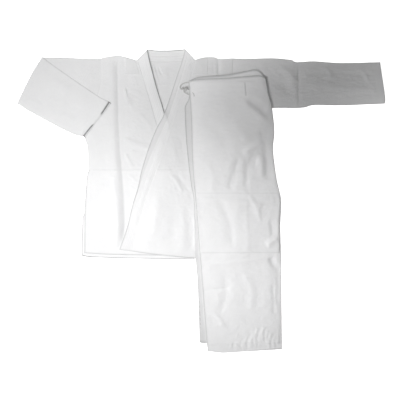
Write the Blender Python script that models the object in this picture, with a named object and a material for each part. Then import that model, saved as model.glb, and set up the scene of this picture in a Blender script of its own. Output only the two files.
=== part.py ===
"""Jiu-jitsu gi laid out flat: an open jacket and a pair of trousers.

The jacket lies on its back, left front over right, with its right sleeve folded in at the elbow.
The trousers are folded in half lengthwise and lie on the jacket's left side. Each sewn piece is
one closed solid. Every piece is a grid of points filled in between its cut edges, and its height
is worked out by letting it settle on the pieces that lie under it.

Tables are in millimetres. The jacket's have x across from the middle of the back (plus is the
wearer's left) and y up from the shoulder line. The trousers' have x across from the middle of
the waist and y up from the waist. The model is in metres, +Z up, and rests on z = 0.
"""

import bmesh
import bpy
import numpy as np

MM = 0.001

# Where the two garments lie, in the part's frame.
JACKET_AT = (-128.3, 513.7)
TROUSERS_AT = (118.3, 441.7)

# Cloth, as thick as it is.
BODY_WALL = 1.8
SKIRT_WALL = 1.5
SLEEVE_WALL = 1.6
YOKE_WALL = 1.0
SHOULDER_PATCH_WALL = 1.2
LEG_WALL = 1.2
KNEE_PATCH_WALL = 1.2
COLLAR_THICK = 5.0

# Room between pieces.
SEAM_SIDE = 0.2
AIR = 0.5
SLIT = 0.6
EDGE_ROUND = 0.8
FOLD_RADIUS_IN = 0.35
LOFT = 1.6
LOFT_AT_SEAMS = 0.15

# How wide cloth bridges a step that it lies over, and the mesh on which it is worked out.
CELL = 4.0
DRAPE_REACH = 12.0
DRAPE_ROUNDS = 3
BED_X = np.arange(-620.0, 860.0, CELL)
BED_Y = np.arange(-1120.0, 120.0, CELL)

# ---------------------------------------------------------------- jacket, cut edges (x, y) in mm
SHOULDER_RIGHT = [(-239, -3), (-225, 2), (-193, 7), (-167, 8), (-149, 4), (-108, -8)]
SHOULDER_LEFT = [(103, -7), (129, 2), (174, 3), (190, -3), (239, -1)]
NECKLINE = [(-108, -8), (-80, -15), (0, -17), (78, -14), (103, -7)]
ARMHOLE_RIGHT = [(-239, -3), (-241, -97), (-265, -170), (-293, -230)]
ARMHOLE_LEFT = [(239, -1), (241, -97), (265, -170), (293, -230)]
SIDE_RIGHT = [(-293, -230), (-296, -280), (-284, -324), (-280, -405)]
SIDE_LEFT = [(293, -230), (296, -280), (284, -324), (280, -405)]
WAIST_Y = -405
BACK_VENT_RIGHT = [(-280, -405), (-288, -440), (-297, -560), (-303, -580), (-307, -700), (-303, -709)]
BACK_VENT_LEFT = [(280, -405), (288, -440), (297, -560), (303, -580), (307, -700), (303, -709)]
BACK_HEM = [(-303, -709), (-265, -715), (-104, -720), (23, -722), (303, -718)]
FRONT_VENT_RIGHT = [(-280, -405), (-287, -434), (-294, -572), (-295, -702)]
FRONT_VENT_LEFT = [(280, -405), (287, -434), (294, -572), (296, -712)]
RIGHT_HEM = [(-295, -702), (-185, -708), (93, -712)]
LEFT_HEM = [(-117, -697), (-53, -706), (24, -714), (111, -720), (296, -712)]

# The collar band: its seam to the front, and its folded edge.
RIGHT_LAPEL_SEAM = [(-108, -8), (-53, -193), (6, -405), (93, -712)]
RIGHT_LAPEL_FOLD = [(-69, 31), (-58, -17), (-36, -101), (-8, -193), (52, -405), (139, -713)]
LEFT_LAPEL_SEAM = [(103, -7), (83, -77), (32, -218), (-5, -331), (-31, -405), (-74, -524),
                   (-100, -620), (-117, -697)]
LEFT_LAPEL_FOLD = [(67, 33), (56, -9), (37, -66), (-8, -198), (-36, -253), (-63, -319), (-90, -405),
                   (-104, -469), (-121, -524), (-144, -615), (-170, -690)]
LAPEL_SECTION = [  # across, from the folded edge to the seam; part of the full thickness
    (0.00, 0.30),
    (0.10, 0.70),
    (0.30, 1.00),
    (0.70, 1.00),
    (0.92, 0.92),
    (1.00, 0.62),
]
FRONTS = {
    "right": {
        "shoulder": SHOULDER_RIGHT, "armhole": ARMHOLE_RIGHT, "side": SIDE_RIGHT, "vent": FRONT_VENT_RIGHT,
        "hem": RIGHT_HEM, "lapel_seam": RIGHT_LAPEL_SEAM, "lapel_fold": RIGHT_LAPEL_FOLD,
        "crease_body": (0.435, 0.41), "crease_skirt": (0.41, 0.36),
    },
    "left": {
        "shoulder": SHOULDER_LEFT, "armhole": ARMHOLE_LEFT, "side": SIDE_LEFT, "vent": FRONT_VENT_LEFT,
        "hem": LEFT_HEM, "lapel_seam": LEFT_LAPEL_SEAM, "lapel_fold": LEFT_LAPEL_FOLD,
        "crease_body": None, "crease_skirt": None,
    },
}
NECK_BAND_TOP = [(-69, 32), (-36, 28), (2, 28), (40, 30), (68, 33)]

YOKE_TOP = [(-92, -16), (0, -20), (92, -15)]
YOKE_BOTTOM = [(-76, -97), (0, -98), (76, -97)]
SHOULDER_PATCH_RIGHT = [(-149, 2), (-113, -9), (-97, -59), (-149, -60)]
SHOULDER_PATCH_LEFT = [(108, -8), (149, 1), (149, -60), (93, -59)]

# Sleeves.
SLEEVE_LEFT_TOP = [(239, -1), (283, -3), (383, -1), (448, -7), (468, -15), (531, -12), (627, -18), (769, -15)]
SLEEVE_LEFT_UNDER = [(293, -230), (329, -193), (380, -181), (485, -180), (531, -170), (627, -171), (785, -165)]
CUFF_LEFT = [(769, -15), (781, -95), (788, -150), (785, -165)]
UPPER_ARM_TOP = [(-239, -3), (-293, -2), (-394, 2), (-445, 2)]
UPPER_ARM_UNDER = [(-293, -230), (-329, -193), (-400, -178), (-527, -166)]
ELBOW_FOLD = [(-445, 2), (-482, -57), (-530, -155), (-527, -166)]
FOREARM_TOP = [(-445, 2), (-394, -36), (-318, -89), (-242, -140), (-203, -160)]
FOREARM_UNDER = [(-527, -166), (-482, -198), (-394, -246), (-331, -276), (-297, -283)]
CUFF_RIGHT = [(-203, -160), (-232, -203), (-260, -238), (-297, -283)]

# -------------------------------------------------------------- trousers, cut edges (x, y) in mm
WAIST_FRONT = [(-166, -11), (-130, -5), (-36, -1), (16, 3), (83, 8), (109, 0)]
WAIST_BACK = [(-166, -11), (-128, 3), (-36, 10), (33, 23), (67, 30), (87, 24), (109, 0)]
RIGHT_OUTSEAM = [(-166, -11), (-158, -155), (-153, -317), (-141, -454), (-128, -619), (-102, -950), (-99, -979)]
RIGHT_INSEAM = [(109, 0), (119, -56), (133, -108), (142, -194), (137, -260), (150, -364), (166, -440),
                (163, -540), (166, -644), (167, -810), (169, -976)]
RIGHT_LEG_HEM = [(-99, -979), (-40, -988), (50, -983), (169, -976)]
UNDER_WAIST = [(-172, -22), (0, -14), (96, -12)]
UNDER_OUTSEAM = [(-172, -22), (-181, -126), (-175, -238), (-160, -372), (-148, -450), (-143, -619),
                 (-131, -742), (-120, -943)]
UNDER_INSEAM = [(96, -12), (124, -120), (127, -260), (150, -440), (152, -644), (156, -950)]
UNDER_LEG_HEM = [(-120, -943), (-104, -955), (156, -950)]
KNEE_TOP_Y, KNEE_BOTTOM_Y = -405, -648

# ------------------------------------------------- largest folds: ridges plus, troughs minus (mm)
# from x, y to x, y; bow sideways at the middle; height; half width
JACKET_FOLDS = [
    (-182, 2, -158, -672, 6, 3.0, 16),
    (190, -2, 190, -70, 0, -1.6, 12),
    (-153, -292, -59, -317, 0, -1.6, 14),
    (-149, -108, -126, -180, 0, -1.6, 14),
    (-149, -347, -120, -392, 0, -1.4, 12),
    (31, -415, 80, -480, 0, 1.6, 14),
]
SLEEVE_LEFT_FOLDS = [
    (468, -20, 478, -176, 0, -2.0, 12),
    (412, -34, 476, -92, 0, -2.0, 16),
    (330, -42, 395, -16, 0, 1.6, 18),
]
SLEEVE_RIGHT_FOLDS = [
    (-500, -110, -420, -190, 0, 1.4, 18),
    (-430, -60, -330, -130, 0, -1.2, 20),
    (-270, -190, -320, -262, 0, 1.2, 16),
]
LEG_FOLDS = [
    (23, -82, 124, -166, 5, -2.4, 16),
    (22, -219, 94, -200, 0, -1.6, 13),
    (31, -266, 102, -235, 0, -2.2, 13),
    (31, -266, 40, -403, 6, -1.8, 13),
    (104, -274, 119, -371, 0, -2.2, 14),
    (132, -640, 158, -688, 0, -2.0, 14),
    (127, -774, 137, -881, 0, -1.6, 13),
]

# ------------------------------------------------------------------ drawstring (x, y, z) in mm
CORD_DIAMETER = 4.0
CORD_SIDES = 2
CORD_STEPS = 16
KNOT_AT = (-180, -40, 17)
KNOT_SIZE = (20, 18, 10)
CORD_TO_KNOT = [(-156, -17, 21.3), (-165, -17, 21), (-174, -18, 18), (-184, -20, 13.5), (-194, -26, 12),
                (-198, -34, 12.2), (-195, -40, 13), (-189.8, -42, 14)]
CORD_LOWER_END = [(-186, -49.5, 13), (-180, -54, 15), (-173, -58, 17.6), (-166, -62, 20.2), (-157, -66, 20.9)]
CORD_UPPER_END = [(-174, -41, 24), (-164, -44, 21.6), (-156, -50, 21), (-149, -59, 21.1), (-147, -68, 21.1)]
KEEPER = [(31, -18), (37, -18), (41, -65), (35, -65)]
KEEPER_WALL = 1.6

# How finely each piece is divided.
ARMHOLE_STEPS = 8
SIDE_STEPS = 5
SKIRT_STEPS = 10
FRONT_STEPS = 12
SHOULDER_STEPS = 3
NECK_STEPS = 8
SLEEVE_STEPS = 20
UPPER_ARM_STEPS = 7
FOREARM_STEPS = 12
ELBOW_TURNS = 5
LEG_LEFT_STEPS = (8, 22)
LEG_RIGHT_STEPS = (12, 32)
SHARP_ANGLE = 0.7

# Colour and roughness of each cloth.
PEARL_WEAVE = (0.91, 0.91, 0.90), 0.85
SKIRT_CLOTH = (0.92, 0.92, 0.91), 0.82
BAND_CLOTH = (0.90, 0.90, 0.89), 0.80
FACING_CLOTH = (0.86, 0.86, 0.86), 0.80
DRILL = (0.91, 0.91, 0.90), 0.80
TAPE = (0.93, 0.93, 0.92), 0.70

reliefs = {}


# ------------------------------------------------------------------------------ edges and grids
def along(points, stations):
    """Points at the given fractions of the length of a smooth curve through a table's points."""
    knots = np.array(points, float)
    if len(knots) == 2:
        knots = np.array([knots[0], knots.mean(0), knots[1]])
    ends = 2 * knots[:1] - knots[1:2], 2 * knots[-1:] - knots[-2:-1]
    padded = np.concatenate([ends[0], knots, ends[1]])
    p0, p1, p2, p3 = (padded[k:len(padded) - 3 + k, None] for k in range(4))
    t = np.linspace(0, 1, 24, endpoint=False)[None, :, None]
    cubic = 2 * p1 + (p2 - p0) * t + (2 * p0 - 5 * p1 + 4 * p2 - p3) * t**2 + (3 * p1 - p0 - 3 * p2 + p3) * t**3
    fine = np.concatenate([cubic.reshape(-1, knots.shape[1]) / 2, knots[-1:]])
    length = np.concatenate([[0], np.cumsum(np.linalg.norm(np.diff(fine, axis=0), axis=1))])
    wanted = np.asarray(stations) * length[-1]
    return np.stack([np.interp(wanted, length, fine[:, k]) for k in range(knots.shape[1])], axis=-1)


def steps(count):
    """count even divisions of an edge, as fractions of its length."""
    return np.linspace(0, 1, count + 1)


def joined(*edges):
    """Edges that follow each other, as one, with each shared end kept once."""
    return np.concatenate([edges[0]] + [edge[1:] for edge in edges[1:]])


def patch(top, bottom, left, right, follow=None):
    """Grid of points filled in between four edges: rows run down, columns run from left to right.

    follow gives the fraction of the width at which a middle column runs, at the top and bottom.
    """
    v = np.linspace(0, 1, len(left))[:, None, None]
    u = np.linspace(0, 1, len(top))[None, :, None]
    if follow is not None:
        middle = np.rint(follow[0] * (len(top) - 1)) / (len(top) - 1)
        run = follow[0] + (follow[1] - follow[0]) * v
        u = np.where(u < middle, u * run / middle, run + (u - middle) * (1 - run) / (1 - middle))
        spread = u[:, :, 0]
        place = np.linspace(0, 1, len(top))
        top = np.stack([np.interp(spread, place, top[:, k]) for k in (0, 1)], axis=-1)
        bottom = np.stack([np.interp(spread, place, bottom[:, k]) for k in (0, 1)], axis=-1)
    else:
        top, bottom = top[None], bottom[None]
    rows = (1 - v) * top + v * bottom
    columns = (1 - u) * left[:, None] + u * right[:, None]
    corners = (1 - v) * ((1 - u) * left[0] + u * right[0]) + v * ((1 - u) * left[-1] + u * right[-1])
    return rows + columns - corners


def drawn_in(grid, distance):
    """A grid with its left and right edges moved inwards."""
    out = grid.copy()
    for edge, inner in ((0, 1), (-1, -2)):
        step = grid[:, inner] - grid[:, edge]
        out[:, edge] += distance * step / np.linalg.norm(step, axis=-1, keepdims=True)
    return out


def trimmed(grid, gap=SEAM_SIDE):
    """Draw all four of a grid's edges in by the gap that seams keep."""
    return drawn_in(drawn_in(grid.transpose(1, 0, 2), gap).transpose(1, 0, 2), gap)


# ------------------------------------------------------------------------------------- settling
def cells(points):
    """Row and column of the bed's cell under each point."""
    column = np.clip(np.rint((points[..., 0] - BED_X[0]) / CELL), 0, len(BED_X) - 1)
    row = np.clip(np.rint((points[..., 1] - BED_Y[0]) / CELL), 0, len(BED_Y) - 1)
    return row.astype(int), column.astype(int)


def fill(grid):
    """Points closer than half a cell all over a grid's triangles: (row, column, sample, field)."""
    span = max(np.abs(np.diff(grid[..., :2], axis=0)).max(), np.abs(np.diff(grid[..., :2], axis=1)).max())
    count = int(np.ceil(span / (CELL / 2))) + 1
    s, t = (axis.ravel()[:, None] for axis in np.meshgrid(steps(count), steps(count)))
    a, b = grid[:-1, :-1, None], grid[:-1, 1:, None]
    c, d = grid[1:, 1:, None], grid[1:, :-1, None]
    return np.where(s >= t, a + s * (b - a) + t * (c - b), a + t * (d - a) + s * (c - d))


def relief_of(grid):
    """Height of a surface over the bed, one cell wider all round than the surface."""
    height = np.zeros((len(BED_Y), len(BED_X)))
    points = fill(grid)
    np.maximum.at(height, cells(points), points[..., 2])
    for axis in (0, 1):
        height = np.maximum(height, np.maximum(np.roll(height, 1, axis), np.roll(height, -1, axis)))
    return height


def draped(height):
    """The bed's heights bridged by cloth: blurred again and again, but never below themselves."""
    reach = int(round(DRAPE_REACH / CELL))
    cloth = height
    for _ in range(DRAPE_ROUNDS):
        for axis in (0, 1):
            shifted = [np.roll(cloth, k, axis) for k in range(-reach, reach + 1)]
            cloth = np.mean(shifted, axis=0)
        cloth = np.maximum(cloth, height)
    return cloth


def settle(grid, under):
    """Height at which a sheet's underside lies on the named pieces: no triangle of it dips in."""
    if not under:
        return np.zeros(grid.shape[:2])
    bed = np.max([reliefs[name] for name in under], axis=0)
    held = bed[cells(fill(grid))].max(axis=2)
    rest = draped(bed)[cells(grid)]
    around = np.pad(held, 1, mode="edge")
    for shift_row in (0, 1):
        for shift_column in (0, 1):
            corner = around[shift_row:shift_row + len(rest), shift_column:shift_column + rest.shape[1]]
            rest = np.maximum(rest, corner)
    return rest + AIR * (rest > 0)


def folded(grid, folds):
    """Height that a table's ridges and troughs add, each fading out sideways and at its ends."""
    total = np.zeros(grid.shape[:2])
    for x0, y0, x1, y1, bow, height, width in folds:
        run = np.array([x1 - x0, y1 - y0], float)
        length = np.hypot(*run)
        off = grid[..., :2] - (x0, y0)
        t = (off @ run) / length**2
        side = (off[..., 0] * run[1] - off[..., 1] * run[0]) / length - bow * 4 * t * (1 - t)
        end = np.clip(np.minimum(t, 1 - t) * length / width + 0.5, 0, 1)
        total += height * np.exp(-(side / width) ** 2) * end
    return total


# --------------------------------------------------------------------------------------- solids
def material(name, colour, roughness):
    made = bpy.data.materials.new(name)
    made.use_nodes = True
    shader = made.node_tree.nodes["Principled BSDF"]
    shader.inputs["Base Color"].default_value = (*colour, 1)
    shader.inputs["Roughness"].default_value = roughness
    shader.inputs["Metallic"].default_value = 0
    return made


def quads(rows, columns, base=0, wrap=False, flip=False):
    """Faces of a grid of points; wrap joins its last column to its first."""
    faces = []
    for i in range(rows - 1):
        for j in range(columns if wrap else columns - 1):
            k = (j + 1) % columns
            a, b = base + i * columns + j, base + i * columns + k
            c, d = a + columns, b + columns
            first, second = (a, c, d), (a, d, b)
            faces += [first[::-1], second[::-1]] if flip else [first, second]
    return faces


def solid(name, points, faces, parent, shade):
    """One named mesh object, from points in millimetres from the jacket's zero."""
    offset = np.array([*JACKET_AT, 0]) * MM - np.array(parent.location)
    mesh = bpy.data.meshes.new(name)
    mesh.from_pydata((points * MM + offset).tolist(), [], faces)
    shell = bmesh.new()
    shell.from_mesh(mesh)
    bmesh.ops.recalc_face_normals(shell, faces=shell.faces)
    shell.to_mesh(mesh)
    shell.free()
    mesh.shade_smooth()
    mesh.set_sharp_from_angle(angle=SHARP_ANGLE)
    add_object(name, mesh, parent, shade)


def add_object(name, data, parent, shade):
    """Put a mesh or a curve in the scene under its garment, with its own material."""
    data.materials.append(material(name, *shade))
    obj = bpy.data.objects.new(name, data)
    obj.parent = parent
    bpy.context.scene.collection.objects.link(obj)


def sheet(name, grid, low, thick, parent, shade):
    """A wall of cloth on a grid, from the height low up to low + thick."""
    rows, columns = grid.shape[:2]
    under = np.dstack([grid, low])
    over = np.dstack([grid, low + thick])
    count = rows * columns
    faces = quads(rows, columns, base=count) + quads(rows, columns, flip=True)
    index = np.arange(count).reshape(rows, columns)
    rim = np.concatenate([index[0, :-1], index[:-1, -1], index[-1, :0:-1], index[:0:-1, 0]]).tolist()
    for a, b in zip(rim, rim[1:] + rim[:1]):
        faces += [(a, a + count, b + count), (a, b + count, b)]
    solid(name, np.concatenate([under.reshape(-1, 3), over.reshape(-1, 3)]), faces, parent, shade)
    reliefs[name] = relief_of(over)


def tube(name, outer, inner, parent, shade):
    """A wall of cloth between two surfaces of closed rings, open at both ends."""
    rings, sides = outer.shape[:2]
    count = rings * sides
    faces = quads(rings, sides, wrap=True) + quads(rings, sides, base=count, wrap=True, flip=True)
    for ring, flip in ((0, False), (rings - 1, True)):
        for j in range(sides):
            a, b = ring * sides + j, ring * sides + (j + 1) % sides
            first, second = (a, b, b + count), (a, b + count, a + count)
            faces += [first[::-1], second[::-1]] if flip else [first, second]
    solid(name, np.concatenate([outer.reshape(-1, 3), inner.reshape(-1, 3)]), faces, parent, shade)


def flat_rings(lower, upper, low, high, inset):
    """Rings of a flattened tube: across its lower face, round one edge, back, round the other."""
    below = np.dstack([drawn_in(lower, inset + EDGE_ROUND), low])
    above = np.dstack([drawn_in(upper, inset + EDGE_ROUND), high])
    middle = np.dstack([drawn_in((lower + upper) / 2, inset), (low + high) / 2])
    return np.concatenate([below, middle[:, -1:], above[:, ::-1], middle[:, :1]], axis=1)


def flat_tube(name, lower, upper, low, lift, wall, parent, shade):
    """A tube of cloth lying flat: lower face at low, upper face a slit above it plus lift."""
    high = low + 2 * wall + SLIT + lift
    outer = flat_rings(lower, upper, low, high, 0)
    inner = flat_rings(lower, upper, low + wall, high - wall, wall)
    tube(name, outer, inner, parent, shade)
    reliefs[name] = relief_of(np.dstack([upper, high]))


# --------------------------------------------------------------------------------------- jacket
def body_side(armhole, side):
    """An armhole and the side seam below it, down to the waist."""
    return joined(along(armhole, steps(ARMHOLE_STEPS)), along(side, steps(SIDE_STEPS)))


def split_at_waist(points):
    """A lapel's edge above and below the waist seam."""
    fine = along(points, steps(400))
    part = np.argmin(np.abs(fine[:, 1] - WAIST_Y)) / 400
    rows = ARMHOLE_STEPS + SIDE_STEPS
    return along(points, part * steps(rows)), along(points, part + (1 - part) * steps(SKIRT_STEPS))


def level(left, right, count):
    """A straight edge between two points."""
    return left + steps(count)[:, None] * (right - left)


def straight_sides(top, bottom, count):
    """The straight left and right edges between the ends of a top and a bottom edge."""
    return [level(np.array(top[k], float), np.array(bottom[k], float), count) for k in (0, -1)]


def make_back(parent):
    neck = along(NECKLINE, steps(NECK_STEPS))
    shoulders = [along(edge, steps(SHOULDER_STEPS)) for edge in (SHOULDER_RIGHT, SHOULDER_LEFT)]
    top = joined(shoulders[0], neck, shoulders[1])
    right, left = body_side(ARMHOLE_RIGHT, SIDE_RIGHT), body_side(ARMHOLE_LEFT, SIDE_LEFT)
    waist = level(right[-1], left[-1], len(top) - 1)
    body = trimmed(patch(top, waist, right, left))
    sheet("back_body", body, settle(body, ()), BODY_WALL, parent, PEARL_WEAVE)

    vents = [along(edge, steps(SKIRT_STEPS)) for edge in (BACK_VENT_RIGHT, BACK_VENT_LEFT)]
    skirt = trimmed(patch(waist, along(BACK_HEM, steps(len(top) - 1)), *vents))
    sheet("back_skirt", skirt, settle(skirt, ()), SKIRT_WALL, parent, SKIRT_CLOTH)

    band_top = along(NECK_BAND_TOP, steps(NECK_STEPS))
    band = trimmed(patch(band_top, neck, *straight_sides(NECK_BAND_TOP, NECKLINE, 4)), 3 * SEAM_SIDE)
    sheet("collar_neck", band, settle(band, ()), COLLAR_THICK - AIR, parent, FACING_CLOTH)

    edges = [along(edge, steps(NECK_STEPS)) for edge in (YOKE_TOP, YOKE_BOTTOM)]
    yoke = patch(*edges, *straight_sides(YOKE_TOP, YOKE_BOTTOM, 4))
    sheet("inner_yoke", yoke, settle(yoke, ("back_body",)), YOKE_WALL, parent, FACING_CLOTH)


def make_lapel(name, seam, fold, under, parent):
    """A stretch of the collar band, thick in the middle and rounded towards its folded edge."""
    across, part = np.array(LAPEL_SECTION).T
    free = along(fold, steps(len(seam) - 1))
    grid = trimmed(free[:, None] + across[None, :, None] * (seam - free)[:, None])
    sheet(name, grid, settle(grid, under), COLLAR_THICK * part[None, :], parent, BAND_CLOTH)


def make_front(side, under, parent):
    """One front, in its body and its skirt, and the stretch of collar along it."""
    cut = FRONTS[side]
    outer = body_side(cut["armhole"], cut["side"])
    vent = along(cut["vent"], steps(SKIRT_STEPS))
    seam_up, seam_down = split_at_waist(cut["lapel_seam"])
    body_edges, skirt_edges = [outer, seam_up], [vent, seam_down]
    if side == "left":
        body_edges.reverse()
        skirt_edges.reverse()
    waist = level(body_edges[0][-1], body_edges[1][-1], FRONT_STEPS)
    shoulder, hem = (along(cut[edge], steps(FRONT_STEPS)) for edge in ("shoulder", "hem"))
    body = trimmed(patch(shoulder, waist, *body_edges, follow=cut["crease_body"]))
    skirt = trimmed(patch(waist, hem, *skirt_edges, follow=cut["crease_skirt"]))
    for name, grid, wall, cloth in (
        ("body", body, BODY_WALL, PEARL_WEAVE), ("skirt", skirt, SKIRT_WALL, SKIRT_CLOTH),
    ):
        low = settle(grid, under) + lifted(grid, JACKET_FOLDS)
        sheet(f"front_{side}_{name}", grid, low, wall, parent, cloth)
    make_lapel(f"collar_{side}", joined(seam_up, seam_down), cut["lapel_fold"], under, parent)


def lifted(grid, folds):
    """How far loose cloth stands off: its loft and its folds, almost nothing along its seams."""
    seams = np.ones(grid.shape[:2])
    seams[[0, -1]] = LOFT_AT_SEAMS
    seams[:, [0, -1]] = LOFT_AT_SEAMS
    return np.maximum(LOFT + folded(grid, folds), 0) * seams


def make_shoulder_patch(name, corners, under, parent):
    """A short reinforcement on the front's shoulder, beside the collar."""
    a, b, c, d = (np.array(corner, float) for corner in corners)
    grid = patch(level(a, b, 3), level(d, c, 3), level(a, d, 4), level(b, c, 4))
    sheet(name, grid, settle(grid, under), SHOULDER_PATCH_WALL, parent, PEARL_WEAVE)


def make_sleeve_left(parent):
    """The sleeve that lies straight out, from the armhole to the cuff."""
    ends = [along(edge, steps(ARMHOLE_STEPS)) for edge in (ARMHOLE_LEFT, CUFF_LEFT)]
    sides = [along(edge, steps(SLEEVE_STEPS)) for edge in (SLEEVE_LEFT_TOP, SLEEVE_LEFT_UNDER)]
    face = patch(*sides, *ends).transpose(1, 0, 2)
    face[0, :, 0] += SEAM_SIDE
    floor = np.zeros(face.shape[:2])
    loft = lifted(face, SLEEVE_LEFT_FOLDS)
    flat_tube("sleeve_left", face, face, floor, loft, SLEEVE_WALL, parent, PEARL_WEAVE)


def turned_rings(fold_edge, outward, axis, first, second, inset):
    """Rings of the tube on its way round the fold: each height swings about the axis above it."""
    rings = []
    for angle in np.linspace(0, np.pi, ELBOW_TURNS + 2)[1:-1]:
        faces = [(fold_edge + (axis - z) * np.sin(angle) * outward)[None] for z in (first, second)]
        heights = [np.full((1, len(fold_edge)), axis - (axis - z) * np.cos(angle)) for z in (first, second)]
        rings.append(flat_rings(*faces, *heights, inset))
    return rings


def make_sleeve_right(under, parent):
    """The folded sleeve: up the arm, round the elbow's fold, and back down over itself."""
    ends = (ARMHOLE_RIGHT, ELBOW_FOLD, CUFF_RIGHT)
    armhole, fold_edge, cuff = (along(edge, steps(ARMHOLE_STEPS)) for edge in ends)
    arm_sides = [along(edge, steps(UPPER_ARM_STEPS)) for edge in (UPPER_ARM_TOP, UPPER_ARM_UNDER)]
    forearm_sides = [along(edge, steps(FOREARM_STEPS)) for edge in (FOREARM_TOP, FOREARM_UNDER)]
    arm = patch(*arm_sides, armhole, fold_edge).transpose(1, 0, 2)
    arm[0, :, 0] -= SEAM_SIDE
    forearm = patch(*forearm_sides, fold_edge, cuff).transpose(1, 0, 2)

    stack = 2 * SLEEVE_WALL + SLIT
    floor = np.zeros(arm.shape[:2])
    reliefs["upper_arm"] = relief_of(np.dstack([arm, floor + stack]))
    axis = stack + FOLD_RADIUS_IN
    rest = np.maximum(settle(forearm, (*under, "upper_arm")), axis + FOLD_RADIUS_IN)
    rest[0] = axis + FOLD_RADIUS_IN
    top = rest + stack + lifted(forearm, SLEEVE_RIGHT_FOLDS)
    top[0] = rest[0] + stack

    along_fold = np.gradient(fold_edge, axis=0)
    outward = np.stack([along_fold[:, 1], -along_fold[:, 0]], axis=-1)
    outward /= np.linalg.norm(outward, axis=-1, keepdims=True)
    surfaces = []
    for inset in (0.0, SLEEVE_WALL):
        first, second = inset, stack - inset
        arm_rings = flat_rings(arm, arm, floor + first, floor + second, inset)
        fold_rings = turned_rings(fold_edge, outward, axis, first, second, inset)
        forearm_rings = flat_rings(forearm, forearm, top - inset, rest + inset, inset)
        surfaces.append(np.concatenate([arm_rings, *fold_rings, forearm_rings]))
    tube("sleeve_right", *surfaces, parent, PEARL_WEAVE)
    reliefs["sleeve_right"] = relief_of(np.dstack([forearm, top]))


# ------------------------------------------------------------------------------------- trousers
def moved(points):
    """Points of the trousers' tables, from the jacket's zero."""
    shift = np.array(TROUSERS_AT) - np.array(JACKET_AT)
    return [(x + shift[0], y + shift[1], *rest) for x, y, *rest in points]


def make_leg(name, waists, outseam, inseam, hem, divisions, folds, under, parent):
    """A flattened leg, whose back waist edge may stand higher than its front one."""
    across, down = divisions
    sides = [along(moved(edge), steps(down)) for edge in (outseam, inseam)]
    foot = along(moved(hem), steps(across))
    back, front = (patch(along(moved(edge), steps(across)), foot, *sides) for edge in waists)
    placed = [(*moved([fold[:2]])[0], *moved([fold[2:4]])[0], *fold[4:]) for fold in folds]
    flat_tube(name, back, front, settle(back, under), lifted(front, placed), LEG_WALL, parent, DRILL)
    return front


def make_knee_patch(leg, parent):
    """A second layer on the leg that shows, made from the leg's own points and moved out."""
    heights = leg[..., 1].mean(axis=1) - moved([(0, 0)])[0][1]
    rows = np.flatnonzero((heights <= KNEE_TOP_Y) & (heights >= KNEE_BOTTOM_Y))
    grid = leg[rows[0]:rows[-1] + 1, 1:-1]
    sheet("knee_patch_right", grid, settle(grid, ("leg_right",)), KNEE_PATCH_WALL, parent, DRILL)


def make_keeper(parent):
    """The short tape beside the centre front that keeps the drawstring."""
    a, b, c, d = (np.array(corner, float) for corner in moved(KEEPER))
    grid = patch(level(a, b, 1), level(d, c, 1), level(a, d, 4), level(b, c, 4))
    sheet("drawstring_keeper", grid, settle(grid, ("leg_right",)), KEEPER_WALL, parent, TAPE)


def make_cord(name, route, parent):
    """A stretch of the drawstring, as a tube on a smooth route."""
    offset = np.array([*JACKET_AT, 0]) * MM - np.array(parent.location)
    points = along(moved(route), steps(CORD_STEPS)) * MM + offset
    curve = bpy.data.curves.new(name, "CURVE")
    curve.dimensions = "3D"
    curve.bevel_depth = CORD_DIAMETER / 2 * MM
    curve.bevel_resolution = CORD_SIDES
    curve.use_fill_caps = True
    spline = curve.splines.new("POLY")
    spline.points.add(len(points) - 1)
    spline.points.foreach_set("co", np.column_stack([points, np.ones(len(points))]).ravel())
    add_object(name, curve, parent, TAPE)


def make_knot(parent):
    """The knot's rounded lump: a ball of points, pressed flat."""
    turn, rise = np.meshgrid(2 * np.pi * steps(12)[:-1], np.pi * steps(8)[1:-1])
    ball = np.stack([np.cos(turn) * np.sin(rise), np.sin(turn) * np.sin(rise), np.cos(rise)], axis=-1)
    centre, half = np.array(moved([KNOT_AT])[0]), np.array(KNOT_SIZE) / 2
    rings, sides = ball.shape[:2]
    caps = [tuple(range(first, first + sides)) for first in (0, (rings - 1) * sides)]
    faces = quads(rings, sides, wrap=True) + caps
    solid("drawstring_knot", ball.reshape(-1, 3) * half + centre, faces, parent, TAPE)


def empty(name, place):
    obj = bpy.data.objects.new(name, None)
    obj.location = (place[0] * MM, place[1] * MM, 0)
    bpy.context.scene.collection.objects.link(obj)
    return obj


def make_jacket(parent):
    make_back(parent)
    back = ("back_body", "back_skirt", "collar_neck", "inner_yoke")
    make_front("right", back, parent)
    make_front("left", (*back, "front_right_body", "front_right_skirt", "collar_right"), parent)
    make_shoulder_patch("shoulder_patch_right", SHOULDER_PATCH_RIGHT, ("front_right_body",), parent)
    make_shoulder_patch("shoulder_patch_left", SHOULDER_PATCH_LEFT, ("front_left_body",), parent)
    make_sleeve_left(parent)
    make_sleeve_right(("back_body", "front_right_body"), parent)


def make_trousers(parent):
    jacket = tuple(reliefs)
    make_leg("leg_left", (UNDER_WAIST, UNDER_WAIST), UNDER_OUTSEAM, UNDER_INSEAM, UNDER_LEG_HEM,
             LEG_LEFT_STEPS, [], jacket, parent)
    leg = make_leg("leg_right", (WAIST_BACK, WAIST_FRONT), RIGHT_OUTSEAM, RIGHT_INSEAM, RIGHT_LEG_HEM,
                   LEG_RIGHT_STEPS, LEG_FOLDS, (*jacket, "leg_left"), parent)
    make_knee_patch(leg, parent)
    make_keeper(parent)
    make_knot(parent)
    for name, route in (("run", CORD_TO_KNOT), ("lower_end", CORD_LOWER_END), ("upper_end", CORD_UPPER_END)):
        make_cord(f"drawstring_{name}", route, parent)


def main():
    for old in list(bpy.data.objects):
        bpy.data.objects.remove(old, do_unlink=True)
    make_jacket(empty("jacket", JACKET_AT))
    make_trousers(empty("trousers", TROUSERS_AT))


if __name__ == "__main__":
    main()
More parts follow.
